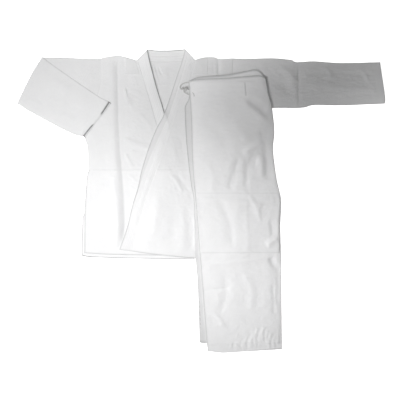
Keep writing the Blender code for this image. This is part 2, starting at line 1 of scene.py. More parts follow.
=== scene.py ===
"""Jiu-jitsu gi laid out flat: an open jacket and a pair of trousers, as a Blender add-on.

Lengths in the tables are in millimetres. The jacket's tables have x across from the middle of the
back and y up from the shoulder line; the trousers' have x across from the middle of the waist and
y up from the waist. Meshes are in metres, in the frame of the solids.
"""

import bpy
import numpy as np
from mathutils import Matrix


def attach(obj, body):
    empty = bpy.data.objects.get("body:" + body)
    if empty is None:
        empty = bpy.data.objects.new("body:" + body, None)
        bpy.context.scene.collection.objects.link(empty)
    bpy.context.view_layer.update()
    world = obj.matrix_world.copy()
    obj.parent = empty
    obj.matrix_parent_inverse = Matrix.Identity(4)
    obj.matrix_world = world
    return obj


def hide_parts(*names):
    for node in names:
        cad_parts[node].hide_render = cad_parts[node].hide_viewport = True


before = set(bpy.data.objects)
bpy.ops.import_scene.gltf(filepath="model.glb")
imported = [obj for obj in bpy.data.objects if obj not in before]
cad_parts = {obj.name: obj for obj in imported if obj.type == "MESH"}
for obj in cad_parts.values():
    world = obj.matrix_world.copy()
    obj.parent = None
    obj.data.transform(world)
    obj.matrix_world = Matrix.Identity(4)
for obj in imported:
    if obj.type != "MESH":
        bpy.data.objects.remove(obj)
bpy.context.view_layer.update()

bl_info = {
    "name": "Jiu-jitsu gi, laid flat",
    "version": (1, 0, 0),
    "blender": (4, 5, 0),
    "location": "3D View > Sidebar > Gi",
    "description": "Builds a white cotton gi, laid out flat, with its trousers folded on it",
    "category": "Add Mesh",
}

MM = 0.001
# Zero of the jacket's and of the trousers' tables, on the table.
JACKET_AT = (-128.3, 513.7)
TROUSERS_AT = (118.3, 441.7)

# Edges are rounded by this much, pieces sewn side by side keep this gap, one that is sewn under
# another reaches below it by the tuck, and air is left between one that lies on another and that.
EDGE_ROUND = 0.8
SEAM_SIDE = 0.2
TUCK = 5.0
AIR = 0.4

# How far wear and painted edge shade reach in from an edge, and the angle from which an edge
# of a mesh is shown sharp.
WEAR_AND_SHADE_WIDTH = 3.2
SHARP_ANGLE = 0.6

# The bed on which cloth settles: its squares, how far cloth bridges a step, and how often it is
# blurred for that.
CELL = 2.0
DRAPE_REACH = 12.0
DRAPE_ROUNDS = 3
BED_X = np.arange(-620.0, 860.0, CELL)
BED_Y = np.arange(-1120.0, 120.0, CELL)

# ---------------------------------------------------------------- jacket, cut edges (x, y) in mm
SHOULDER_RIGHT = [(-239, -3), (-225, 2), (-193, 7), (-167, 8), (-149, 4), (-108, -8)]
SHOULDER_LEFT = [(103, -7), (129, 2), (174, 3), (190, -3), (239, -1)]
NECKLINE = [(-108, -8), (-80, -15), (0, -17), (78, -14), (103, -7)]
ARMHOLE_RIGHT = [(-239, -3), (-241, -97), (-265, -170), (-293, -230)]
ARMHOLE_LEFT = [(239, -1), (241, -97), (265, -170), (293, -230)]
SIDE_RIGHT = [(-293, -230), (-296, -280), (-284, -324), (-280, -405)]
SIDE_LEFT = [(293, -230), (296, -280), (284, -324), (280, -405)]
WAIST_Y = -405
BACK_VENT_RIGHT = [(-280, -405), (-288, -440), (-297, -560), (-303, -580), (-307, -700),
                   (-303, -709)]
BACK_VENT_LEFT = [(280, -405), (288, -440), (297, -560), (303, -580), (307, -700), (303, -709)]
BACK_HEM = [(-303, -709), (-265, -715), (-104, -720), (23, -722), (303, -718)]
FRONT_VENT_RIGHT = [(-280, -405), (-287, -434), (-294, -572), (-295, -702)]
FRONT_VENT_LEFT = [(280, -405), (287, -434), (294, -572), (296, -712)]
RIGHT_HEM = [(-295, -702), (-185, -708), (93, -712)]
LEFT_HEM = [(-117, -697), (-53, -706), (24, -714), (111, -720), (296, -712)]

# The collar band: its seam to the front, its crown and its folded edge.
RIGHT_LAPEL_SEAM = [(-108, -8), (-53, -193), (6, -405), (93, -712)]
RIGHT_LAPEL_FOLD = [(-69, 31), (-58, -17), (-36, -101), (-8, -193), (52, -405), (139, -713)]
LEFT_LAPEL_SEAM = [(103, -7), (83, -77), (32, -218), (-5, -331), (-31, -405), (-74, -524),
                   (-100, -620), (-117, -697)]
LEFT_LAPEL_FOLD = [(67, 33), (56, -9), (37, -66), (-8, -198), (-36, -253), (-63, -319),
                   (-90, -405), (-104, -469), (-121, -524), (-144, -615), (-170, -690)]
# Shape of each band: place along it, how far across its groove runs, how many mm the strip
# beside the groove slopes, the strip's height as a share of the crown, the crown's share of full.
LEFT_LAPEL_SHAPE = [
    (0.0, 0.30, 0.4, 0.80, 0.9),
    (0.15, 0.36, 0.8, 0.75, 1.0),
    (0.3, 0.40, 2.8, 0.65, 1.0),
    (0.45, 0.36, 4.0, 0.62, 1.0),
    (0.58, 0.24, 3.6, 0.60, 0.95),
    (0.68, 0.12, 1.6, 0.60, 0.8),
    (0.8, 0.08, 0.4, 0.60, 0.65),
    (1.0, 0.08, 0.0, 0.60, 0.6),
]
RIGHT_LAPEL_SHAPE = [
    (0.0, 0.10, 0.0, 1.25, 1.0),
    (0.30, 0.10, 0.0, 1.20, 1.0),
    (0.42, 0.10, 0.0, 1.0, 0.4),
    (1.0, 0.10, 0.0, 1.0, 0.35),
]
NECK_BAND_TOP = [(-69, 32), (-36, 28), (2, 28), (40, 30), (68, 33)]

YOKE_TOP = [(-92, -16), (0, -20), (92, -15)]
YOKE_BOTTOM = [(-76, -97), (0, -98), (76, -97)]
SHOULDER_PATCH_RIGHT = [(-149, 2), (-113, -9), (-97, -59), (-149, -60)]
SHOULDER_PATCH_LEFT = [(108, -8), (149, 1), (149, -60), (93, -59)]

# Sleeves.
SLEEVE_LEFT_TOP = [(239, -1), (283, -3), (383, -1), (448, -7), (468, -15), (531, -12),
                   (627, -18), (769, -15)]
SLEEVE_LEFT_UNDER = [(293, -230), (329, -193), (380, -181), (485, -180), (531, -170),
                     (627, -171), (785, -165)]
CUFF_LEFT = [(769, -15), (781, -95), (788, -150), (785, -165)]
UPPER_ARM_TOP = [(-239, -3), (-293, -2), (-394, 2), (-445, 2)]
UPPER_ARM_UNDER = [(-293, -230), (-329, -193), (-400, -178), (-527, -166)]
ELBOW_FOLD = [(-445, 2), (-482, -57), (-530, -155), (-527, -166)]
FOREARM_TOP = [(-445, 2), (-394, -36), (-318, -89), (-242, -140), (-203, -160)]
FOREARM_UNDER = [(-527, -166), (-482, -198), (-394, -246), (-331, -276), (-297, -283)]
CUFF_RIGHT = [(-203, -160), (-232, -203), (-260, -238), (-297, -283)]

# -------------------------------------------------------------- trousers, cut edges (x, y) in mm
WAIST_FRONT = [(-166, -11), (-130, -5), (-36, -1), (16, 3), (83, 8), (109, 0)]
WAIST_BACK = [(-166, -11), (-128, 3), (-36, 10), (33, 23), (67, 30), (87, 24), (109, 0)]
RIGHT_OUTSEAM = [(-166, -11), (-158, -155), (-153, -317), (-141, -454), (-128, -619),
                 (-102, -950), (-99, -979)]
RIGHT_INSEAM = [(109, 0), (119, -56), (133, -108), (142, -194), (137, -260), (150, -364),
                (166, -440), (163, -540), (166, -644), (167, -810), (169, -976)]
RIGHT_LEG_HEM = [(-99, -979), (-40, -988), (50, -983), (169, -976)]
UNDER_WAIST = [(-163, -20), (-130, -9), (-36, -4), (16, 0), (78, 5), (98, -4)]
UNDER_OUTSEAM = [(-163, -20), (-166, -72), (-179, -100), (-181, -126), (-175, -238),
                 (-160, -372), (-148, -450), (-143, -619), (-131, -742), (-120, -943)]
UNDER_INSEAM = [(96, -12), (124, -120), (127, -260), (150, -440), (152, -644), (156, -950)]
UNDER_LEG_HEM = [(-120, -943), (-104, -955), (156, -950)]
KNEE_TOP_Y, KNEE_BOTTOM_Y = -413, -630
KEEPER = [(31, -18), (37, -18), (41, -65), (35, -65)]

# Spacing of the meshes of the back, the neck and the lower leg, and the depth of the band behind
# the neck.
BACK_STEP, NECK_STEP, UNDER_LEG_STEP, NECK_BAND = 5.0, 1.6, 6.0, 46

# Widths of turned-in cloth along the left, right, top and bottom edges, in mm.
BACK_HEM_WIDTHS = (16, 16, 0, 20)
CUFF_HEM_WIDTHS = (0, 0, 0, 25)
LEG_HEM_WIDTHS = (0, 0, 0, 36)
KNEE_HEM_WIDTHS = (9, 9, 0, 12)

# Rows of stitches: the edge that they follow, and their distances from it in mm.
BACK_ROWS = (("left", 14), ("bottom", 18), ("left", 3))
YOKE_ROWS = (("bottom", 2, 8),)
SHOULDER_PATCH_ROWS = (("left", 2, 7), ("right", 2, 7), ("bottom", 2, 7))
CUFF_ROWS, SLEEVE_ROWS, SHOULDER_ROW = ("bottom", 4, 24), ("right", 13, 18), ("top", 9)
LEG_ROWS = (("left", 9, 20), ("right", 3), ("top", 4, 33), ("bottom", 35))
KNEE_ROWS = (("top", 2, 9, 26), ("bottom", 2, 9), ("left", 2), ("right", 2))
KEEPER_ROWS = (("top", 1.5, 3.5), ("bottom", 1.5, 3.5))

# How dark the left, right, top and bottom edges of a sheet are, from 0 to 1: partly rubbed
# wear, free edges more than sewn ones, and partly painted shade along steps and gaps. More than
# 1 widens the dark line.
WEAR_AND_SHADE = {
    "back_body": (0.5, 0.5, 0.3, 0.1),
    "back_skirt": (0.8, 0.8, 0.0, 0.8),
    "collar_neck": (0.0, 0.0, 1.0, 0.2),
    "inner_yoke": (0.0, 0.0, 0.0, 0.1),
    "collar_right": (1.5, 0.1, 0.4, 0.5),
    "collar_left": (0.6, 0.1, 0.4, 0.5),
    "front_right_body": (0.2, 0.0, 0.0, 0.2),
    "front_right_skirt": (0.7, 0.0, 0.0, 0.7),
    "front_left_body": (0.0, 0.2, 0.0, 0.2),
    "front_left_skirt": (0.0, 0.7, 0.0, 0.7),
    "shoulder_patch_right": (0.0, 0.0, 0.0, 0.1),
    "shoulder_patch_left": (0.0, 0.0, 0.0, 0.1),
    "knee_patch_right": (0.2, 0.2, 0.12, 0.3),
    "drawstring_keeper": (0.3, 0.3, 0.3, 0.3),
}
# The same for a tube's first ring, its last ring and its two turned edges.
TUBE_WEAR_AND_SHADE = {
    "sleeve_left": (0.0, 0.3, 0.5),
    "sleeve_right": (0.0, 0.3, 0.45),
    "leg_left": (0.9, 0.5, 0.7),
    "leg_right": (0.9, 0.5, 0.8),
}

# --------------------------------------------------------------------------------------- folds
# Height in mm (ridges plus, troughs minus); half width on the left and on the right of its
# direction; sharpness, from 1, a crease, to 2, a soft swell; points (x, y).
JACKET_FOLDS = [
    (-2.9, 26, 11, 1.3, [(-174, 6), (-169, -187), (-164, -306), (-155, -416), (-147, -524),
                         (-146, -621), (-150, -690)]),
    (2.4, 16, 36, 2.0, [(-199, 6), (-194, -187), (-190, -306), (-181, -416), (-174, -524),
                        (-173, -621), (-177, -690)]),
    (-1.5, 12, 6, 1.5, [(-155, 6), (-145, -80), (-138, -150)]),
    (1.0, 10, 8, 2.0, [(-192, -420), (-178, -560), (-180, -690)]),
    (-1.3, 10, 6, 1.6, [(186, 4), (187, -40), (188, -84)]),
    (-0.4, 10, 6, 1.8, [(168, 0), (170, -70)]),
    (2.3, 7, 9, 1.4, [(-158, -286), (-126, -300), (-99, -309), (-55, -318)]),
    (-1.9, 12, 14, 2.0, [(-150, -306), (-100, -325), (-56, -332)]),
    (1.7, 6, 8, 1.4, [(-150, -340), (-136, -366), (-120, -392)]),
    (2.5, 10, 5, 1.4, [(-150, -104), (-141, -146), (-124, -184)]),
    (1.0, 5, 5, 1.4, [(-142, -418), (-126, -428), (-106, -446)]),
    (-1.0, 9, 7, 1.6, [(30, -412), (52, -438), (82, -480)]),
    (1.0, 6, 6, 1.6, [(16, -420), (40, -450), (58, -486)]),
    (0.8, 5, 5, 1.4, [(-286, -458), (-245, -460), (-205, -458)]),
    (0.8, 5, 5, 1.4, [(-290, -508), (-256, -511), (-220, -508)]),
    (0.7, 4, 4, 1.4, [(-286, -561), (-259, -563)]),
    (-0.8, 22, 22, 2.0, [(24, -500), (30, -600), (20, -690)]),
    (0.9, 18, 18, 2.0, [(-30, -480), (-36, -560), (-50, -650)]),
    (-0.8, 16, 14, 2.0, [(70, -520), (84, -600), (86, -700)]),
    (0.8, 12, 12, 2.0, [(-250, -30), (-262, -110), (-283, -190)]),
    (-0.8, 14, 14, 2.0, [(-215, -60), (-222, -160), (-240, -250)]),
    (0.7, 10, 10, 1.8, [(-284, -250), (-258, -290), (-246, -350)]),
    (0.6, 6, 6, 1.5, [(-100, -200), (-66, -232), (-50, -270)]),
    (0.7, 7, 7, 1.6, [(-280, -620), (-240, -636), (-204, -634)]),
    (-0.4, 9, 9, 1.8, [(30, -260), (52, -300), (60, -360)]),
    (0.4, 7, 7, 1.8, [(8, -300), (26, -340), (34, -384)]),
]
NECK_FOLDS = [
    (-1.9, 4, 4, 1.4, [(-29, -26), (-24, -44), (-17, -62)]),
    (-1.6, 4, 4, 1.4, [(-43, -24), (-36, -48)]),
    (-1.0, 4, 3, 1.4, [(34, -12), (50, -24)]),
    (0.7, 9, 9, 2.0, [(-6, -24), (0, -70), (-4, -96)]),
    (2.2, 5, 5, 2.0, [(-50, -19), (-40, -58), (-28, -97)]),
]
SLEEVE_LEFT_FOLDS = [
    (-0.9, 6, 4, 1.3, [(474, -12), (475, -100), (476, -182)]),
    (0.4, 12, 14, 2.0, [(452, -20), (454, -100), (458, -176)]),
    (1.8, 12, 22, 1.6, [(404, -26), (440, -54), (474, -88)]),
    (-1.3, 18, 18, 2.0, [(400, -80), (430, -110), (460, -130)]),
    (-1.4, 20, 16, 2.0, [(262, -40), (300, -60), (340, -84)]),
    (1.4, 18, 18, 2.0, [(250, -120), (300, -110), (370, -128)]),
    (1.6, 14, 26, 1.6, [(490, -108), (560, -96), (640, -112), (740, -106)]),
    (-1.3, 18, 20, 2.0, [(500, -62), (580, -50), (660, -62), (750, -52)]),
    (1.1, 12, 16, 1.6, [(560, -24), (584, -48), (596, -84)]),
    (-1.0, 10, 14, 1.8, [(640, -146), (700, -130), (760, -136)]),
    (0.8, 10, 10, 1.8, [(690, -30), (716, -60), (728, -92)]),
]
SLEEVE_RIGHT_FOLDS = [
    (-1.1, 18, 18, 2.0, [(-500, -110), (-460, -150), (-420, -190)]),
    (1.0, 16, 20, 2.0, [(-430, -60), (-380, -98), (-330, -130)]),
    (-1.0, 16, 16, 2.0, [(-270, -190), (-296, -226), (-320, -262)]),
    (0.7, 8, 8, 1.6, [(-512, -150), (-470, -160), (-430, -182)]),
    (-0.7, 12, 12, 2.0, [(-400, -130), (-352, -160), (-300, -190)]),
    (0.6, 9, 9, 1.8, [(-380, -200), (-350, -214), (-322, -240)]),
    (-0.6, 10, 10, 2.0, [(-446, -50), (-468, -96), (-490, -130)]),
]
LEG_FOLDS = [
    (2.8, 12, 26, 1.5, [(20, -78), (48, -104), (84, -130), (130, -168)]),
    (-2.0, 18, 16, 2.0, [(44, -70), (78, -96), (116, -122)]),
    (1.7, 9, 20, 1.5, [(16, -222), (54, -212), (98, -198)]),
    (2.7, 11, 16, 1.5, [(24, -270), (62, -252), (106, -230)]),
    (-2.0, 14, 22, 2.0, [(46, -296), (64, -302), (82, -306)]),
    (-2.7, 26, 14, 1.4, [(104, -246), (116, -280), (121, -320), (116, -372)]),
    (1.5, 14, 12, 2.0, [(88, -270), (96, -312), (92, -362)]),
    (-2.0, 14, 10, 1.5, [(14, -280), (-2, -340), (-22, -408)]),
    (-1.5, 12, 9, 1.5, [(36, -282), (42, -330), (36, -404)]),
    (2.0, 26, 60, 1.3, [(-158, -246), (-100, -234), (-40, -224), (20, -216), (96, -204)]),
    (1.2, 20, 44, 1.3, [(-158, -124), (-110, -110), (-60, -100), (0, -92)]),
    (-0.7, 5, 5, 1.6, [(144, -422), (147, -440), (150, -462)]),
    (-1.1, 12, 6, 1.5, [(126, -506), (132, -540), (136, -574)]),
    (1.8, 9, 12, 1.6, [(110, -604), (130, -590), (156, -574)]),
    (-2.4, 10, 9, 1.5, [(128, -640), (138, -668), (164, -696)]),
    (-0.7, 5, 4, 1.3, [(136, -740), (138, -790), (139, -850)]),
    (-0.9, 6, 6, 1.6, [(153, -670), (154, -740), (153, -820)]),
    (-1.2, 4, 4, 1.3, [(-120, -764), (-70, -761), (-22, -756)]),
    (1.0, 8, 9, 1.8, [(44, -420), (70, -450), (78, -490)]),
    (1.0, 8, 9, 1.8, [(96, -440), (84, -476), (90, -520)]),
    (-0.9, 14, 14, 2.0, [(-60, -430), (-20, -520), (-10, -610)]),
    (0.8, 14, 14, 2.0, [(30, -700), (60, -760), (58, -840)]),
    (-0.9, 16, 16, 2.0, [(-40, -690), (-30, -760), (-50, -850)]),
    (0.8, 9, 10, 1.8, [(-90, -840), (-60, -860), (-36, -900)]),
    (-0.8, 18, 18, 2.0, [(-120, -150), (-60, -190), (-20, -260)]),
    (0.7, 12, 12, 2.0, [(-110, -300), (-80, -350), (-84, -420)]),
    (0.9, 5, 10, 1.4, [(-128, -434), (-40, -440), (40, -446), (96, -452)]),
    (0.9, 6, 11, 1.4, [(-110, -668), (-5, -664), (77, -651), (130, -648)]),
    (0.8, 12, 16, 1.8, [(-110, -600), (-20, -612), (80, -606)]),
]
# Puckers where the hem's stitching draws the cloth in: height, upper end and foot (x, y).
PUCKERS = [
    (0.45, (-8, -944), (-11, -978)), (0.54, (6, -946), (7, -980)), (0.45, (20, -938), (15, -982)),
    (0.63, (32, -942), (32, -978)), (0.72, (44, -928), (39, -980)), (0.54, (57, -934), (56, -976)),
    (0.81, (69, -914), (63, -970)), (0.90, (82, -898), (75, -972)), (0.72, (94, -906), (92, -958)),
    (0.90, (106, -892), (101, -950)), (0.72, (118, -902), (117, -962)),
    (0.81, (131, -918), (125, -978)), (0.63, (144, -926), (142, -976)),
    (0.45, (156, -934), (157, -980)),
]
LEG_FOLDS += [(height, 3, 4, 1.6, [top, (foot[0] - 3, (top[1] + foot[1]) / 2), foot])
              for height, top, foot in PUCKERS]


# ------------------------------------------------------------------ drawstring (x, y, z) in mm
KNOT_AT = (-180, -40, 17)
KNOT_SIZE = (3.2, 2.8, 2.2)
CORD_TO_KNOT = [(-156, -17, 21.3), (-165, -17, 21), (-174, -18, 18), (-184, -20, 13.5),
                (-194, -26, 12), (-198, -34, 12.2), (-195, -40, 13), (-189.8, -42, 14)]
CORD_LOWER_END = [(-186, -49.5, 13), (-180, -54, 15), (-173, -58, 17.6), (-166, -62, 20.2),
                  (-157, -66, 20.9)]
CORD_UPPER_END = [(-174, -41, 24), (-164, -44, 21.6), (-156, -50, 21), (-149, -59, 21.1),
                  (-147, -68, 21.1)]

# Heights over the bed of the pieces laid so far, by name.
reliefs = {}


# ------------------------------------------------------------------------------ edges and grids
def along(points, stations):
    """Points at the given fractions of the length of a smooth curve through a table's points.

    Between two of them the curve is the cubic whose slopes follow the neighbours' chord.
    """
    knots = np.array(points, float)
    if len(knots) == 2:
        knots = np.array([knots[0], knots.mean(0), knots[1]])
    padded = np.concatenate([2 * knots[:1] - knots[1:2], knots, 2 * knots[-1:] - knots[-2:-1]])
    p0, p1, p2, p3 = (padded[k:len(padded) - 3 + k, None] for k in range(4))
    t = np.linspace(0, 1, 24, endpoint=False)[None, :, None]
    cubic = (2 * p1 + (p2 - p0) * t + (2 * p0 - 5 * p1 + 4 * p2 - p3) * t**2
             + (3 * p1 - p0 - 3 * p2 + p3) * t**3)
    fine = np.concatenate([cubic.reshape(-1, knots.shape[1]) / 2, knots[-1:]])
    length = np.concatenate([[0], np.cumsum(np.linalg.norm(np.diff(fine, axis=0), axis=1))])
    wanted = np.asarray(stations) * length[-1]
    return np.stack([np.interp(wanted, length, fine[:, k]) for k in range(knots.shape[1])], axis=-1)


def steps(count):
    """count even divisions, as fractions from 0 to 1."""
    return np.linspace(0, 1, count + 1)


def joined(*edges):
    """Edges or grids that follow each other, as one, with each shared end kept once."""
    return np.concatenate([edges[0]] + [edge[1:] for edge in edges[1:]])


def patch(top, bottom, left, right):
    """Grid between four edges: the two straight blends of facing edges, less the corners' blend."""
    v = np.linspace(0, 1, len(left))[:, None, None]
    u = np.linspace(0, 1, len(top))[None, :, None]
    rows = (1 - v) * top[None] + v * bottom[None]
    columns = (1 - u) * left[:, None] + u * right[:, None]
    corners = (1 - v) * ((1 - u) * left[0] + u * right[0]) + v * ((1 - u) * left[-1] + u * right[-1])
    return rows + columns - corners


def level(left, right, count):
    """A straight edge between two points."""
    left, right = np.array(left, float), np.array(right, float)
    return left + steps(count)[:, None] * (right - left)


def drawn_in(grid, distance):
    """A grid with its left and right edges moved inwards."""
    out = grid.copy()
    for edge, inner in ((0, 1), (-1, -2)):
        step = grid[:, inner] - grid[:, edge]
        out[:, edge] += distance * step / np.linalg.norm(step, axis=-1, keepdims=True)
    return out


def trimmed(grid, gap=SEAM_SIDE):
    """Draw all four of a grid's edges in."""
    return drawn_in(drawn_in(grid.transpose(1, 0, 2), gap).transpose(1, 0, 2), gap)


def count_for(edge, spacing):
    """How many divisions of a table's edge give the spacing."""
    fine = along(edge, steps(40))
    return max(2, int(round(np.linalg.norm(np.diff(fine, axis=0), axis=1).sum() / spacing)))


def run_length(grid, axis):
    """Distance walked along a grid's rows or columns, from its first row or column."""
    walked = np.linalg.norm(np.diff(grid[..., :2], axis=axis), axis=-1)
    start = np.zeros_like(np.take(walked, [0], axis=axis))
    return np.concatenate([start, np.cumsum(walked, axis=axis)], axis=axis)


def from_edges(grid):
    """Distances in mm from a grid's left, right, top and bottom edges."""
    across, down = run_length(grid, 1), run_length(grid, 0)
    return across, across[:, -1:] - across, down, down[-1:] - down


# ------------------------------------------------------------------------------------- settling
def cell_of(points):
    """Row and column of the bed's cell under each point, with fractions."""
    column = np.clip((points[..., 0] - BED_X[0]) / CELL, 0, len(BED_X) - 1.001)
    row = np.clip((points[..., 1] - BED_Y[0]) / CELL, 0, len(BED_Y) - 1.001)
    return row, column


def fill(grid):
    """Points closer than a cell all over a grid's faces: each is the blend of its four corners."""
    span = max(np.abs(np.diff(grid[..., :2], axis=axis)).max() for axis in (0, 1))
    count = int(np.ceil(span / CELL)) + 1
    s, t = (axis.ravel()[:, None] for axis in np.meshgrid(steps(count), steps(count)))
    a, b = grid[:-1, :-1, None], grid[:-1, 1:, None]
    c, d = grid[1:, 1:, None], grid[1:, :-1, None]
    return (1 - s) * (1 - t) * a + s * (1 - t) * b + s * t * c + (1 - s) * t * d


def relief_of(grid):
    """Height of a surface over the bed, one cell wider all round than the surface."""
    height = np.zeros((len(BED_Y), len(BED_X)))
    points = fill(grid)
    row, column = cell_of(points)
    np.maximum.at(height, (np.rint(row).astype(int), np.rint(column).astype(int)), points[..., 2])
    for axis in (0, 1):
        height = np.maximum(height, np.maximum(np.roll(height, 1, axis), np.roll(height, -1, axis)))
    return height


def blurred(height, reach):
    """Mean over a square of cells."""
    for axis in (0, 1):
        height = np.mean([np.roll(height, k, axis) for k in range(-reach, reach + 1)], axis=0)
    return height


def draped(height, reach):
    """The bed's heights bridged by cloth: blurred again and again, never below themselves."""
    cloth = height
    for _ in range(DRAPE_ROUNDS):
        cloth = np.maximum(blurred(cloth, int(round(reach / CELL))), height)
    return blurred(cloth, 1)


def settle(grid, under, reach=DRAPE_REACH):
    """Height at which a sheet's underside lies on the named pieces, blended between cells."""
    if not under:
        return np.zeros(grid.shape[:2])
    cloth = draped(np.max([reliefs[name] for name in under], axis=0), reach)
    row, column = cell_of(grid)
    i, j = row.astype(int), column.astype(int)
    s, t = row - i, column - j
    rest = ((1 - s) * (1 - t) * cloth[i, j] + (1 - s) * t * cloth[i, j + 1]
            + s * (1 - t) * cloth[i + 1, j] + s * t * cloth[i + 1, j + 1])
    return rest + AIR * np.clip(rest, 0, 1)


def smooth(x):
    """A soft step: 0 below 0, 1 above 1, cubic between."""
    x = np.clip(x, 0, 1)
    return x * x * (3 - 2 * x)


def folded(grid, folds):
    """Height that a table's folds add.

    Each is its height times exp(-(distance / half width) ** sharpness), faded out at its ends.
    """
    total = np.zeros(grid.shape[:2])
    for height, left, right, power, points in folds:
        line = along(points, steps(3 * (len(points) - 1) if len(points) > 2 else 2))
        lengths = np.linalg.norm(np.diff(line, axis=0), axis=1)
        length = lengths.sum()
        nearest = np.full(grid.shape[:2], np.inf)
        best = np.zeros(grid.shape[:2])
        place = np.zeros(grid.shape[:2])
        start = 0.0
        for a, b, run in zip(line, line[1:], lengths):
            ahead = (b - a) / run
            off = grid[..., :2] - a
            t = np.clip(off @ ahead, 0, run)
            gap = np.linalg.norm(off - t[..., None] * ahead, axis=-1)
            side = ahead[0] * off[..., 1] - ahead[1] * off[..., 0]
            closer = gap < nearest
            nearest = np.where(closer, gap, nearest)
            best = np.where(closer, side, best)
            place = np.where(closer, start + t, place)
            start += run
        width = np.where(best > 0, left, right)
        fade = min(length / 3, 2.5 * max(left, right))
        ends = smooth(np.minimum(place, length - place) / fade + 0.15)
        total += height * np.exp(-(nearest / width) ** power) * ends
    return bpy.context.scene.gi_cloth.fold_depth * total


def noise(x, y, size, seed):
    """Soft noise from -1 to 1: random numbers on a square lattice, blended between its corners."""
    lattice = np.random.default_rng(seed).uniform(-1, 1, (256, 256))
    i, j = np.floor(x / size).astype(int), np.floor(y / size).astype(int)
    s, t = smooth(x / size - i), smooth(y / size - j)
    a, b = lattice[j % 256, i % 256], lattice[j % 256, (i + 1) % 256]
    c, d = lattice[(j + 1) % 256, i % 256], lattice[(j + 1) % 256, (i + 1) % 256]
    return (1 - t) * ((1 - s) * a + s * b) + t * ((1 - s) * c + s * d)


def rumpled(grid, seed, turn=0.0):
    """Unevenness of washed cotton: swells, longer across than down, and fine creases between them."""
    look = bpy.context.scene.gi_cloth
    x = grid[..., 0] * np.cos(turn) + grid[..., 1] * np.sin(turn)
    y = grid[..., 1] * np.cos(turn) - grid[..., 0] * np.sin(turn)
    swell = noise(x, 1.4 * y, 62, seed) + 0.5 * noise(x, 1.6 * y, 31, seed + 1)
    warp = 9 * noise(x, y, 40, seed + 2)
    crease = 1 - np.abs(noise(x + warp, 2.2 * y + warp, 24, seed + 3)) * 2
    fine = noise(x + warp, 2.4 * y, 11, seed + 4)
    return look.swell * swell / MM + look.creases / MM * (0.6 * np.clip(crease, 0, 1) ** 2 + 0.5 * fine)


def lofted(grid, folds, seed, seams=(1, 1, 1, 1), turn=0.0):
    """How far loose cloth stands off: its loft, folds and unevenness, fading towards its seams.

    Where a fold would press it below what it lies on, it comes softly to rest. seams says how
    firmly, from 0 to 1, the left, right, top and bottom edges are held down.
    """
    look = bpy.context.scene.gi_cloth
    held = np.ones(grid.shape[:2])
    for distance, share in zip(from_edges(grid), seams):
        held = held * (1 - 0.88 * share * (1 - smooth(distance / (look.seam_fade / MM))))
    height = look.loft / MM + folded(grid, folds) + rumpled(grid, seed, turn)
    return (height + np.sqrt(height**2 + 0.25)) / 2 * held


def hemmed(grid, widths, extra=0.9):
    """Extra thickness of turned-in cloth along the left, right, top and bottom edges."""
    total = np.zeros(grid.shape[:2])
    for distance, width in zip(from_edges(grid), widths):
        if width:
            total = np.maximum(total, extra * smooth((width - distance) / 3.0 + 0.5))
    return total


# --------------------------------------------------------------------------------------- meshes
def grid_faces(rows, columns, base=0, wrap=False, flip=False):
    """Four-sided faces of a grid of points; wrap joins its last column to its first."""
    i = np.arange(rows - 1)[:, None] * columns
    j = np.arange(columns if wrap else columns - 1)[None]
    k = (j + 1) % columns
    order = (i + j, i + columns + j, i + columns + k, i + k)
    faces = np.stack([(base + corner).ravel() for corner in order], axis=-1)
    return faces[:, ::-1] if flip else faces


def belt(first, second):
    """Faces between two closed rings of point numbers."""
    return np.stack([first, second, np.roll(second, -1), np.roll(first, -1)], axis=-1)


def mesh_object(name, points, faces, uv=None, wear=None):
    """A mesh object from points in millimetres from the jacket's zero and arrays of faces.

    uv is the cloth's own chart in millimetres, and the last array says how rubbed each point is,
    with painted shade at steps and gaps.
    """
    place = (np.asarray(points) + (*JACKET_AT, 0)) * MM
    mesh = bpy.data.meshes.new(name)
    mesh.vertices.add(len(place))
    mesh.vertices.foreach_set("co", place.ravel())
    loops = np.concatenate([block.ravel() for block in faces])
    sizes = np.concatenate([np.full(len(block), block.shape[1]) for block in faces])
    mesh.loops.add(len(loops))
    mesh.loops.foreach_set("vertex_index", loops)
    mesh.polygons.add(len(sizes))
    mesh.polygons.foreach_set("loop_start", np.concatenate([[0], np.cumsum(sizes)[:-1]]))
    mesh.polygons.foreach_set("loop_total", sizes)
    mesh.update(calc_edges=True)
    if uv is not None:
        layer = mesh.uv_layers.new(name="cloth")
        layer.data.foreach_set("uv", (uv[loops] * MM).ravel())
    if wear is not None:
        mesh.attributes.new("wear", "FLOAT", "POINT").data.foreach_set("value", wear)
    mesh.validate()
    mesh.shade_smooth()
    mesh.set_sharp_from_angle(angle=SHARP_ANGLE)
    obj = bpy.data.objects.new(name, mesh)
    bpy.context.scene.collection.objects.link(obj)
    return obj


def finish_piece(obj, material, nodes=()):
    """Give a piece its material and its body, and let it stand for its solids."""
    obj.data.materials.append(material)
    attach(obj, "root")
    if nodes:
        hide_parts(*nodes)
    return obj


def rim_of(rows, columns):
    """Numbers of a grid's outer points, in order round it."""
    index = np.arange(rows * columns).reshape(rows, columns)
    return np.concatenate([index[0, :-1], index[:-1, -1], index[-1, :0:-1], index[:0:-1, 0]])


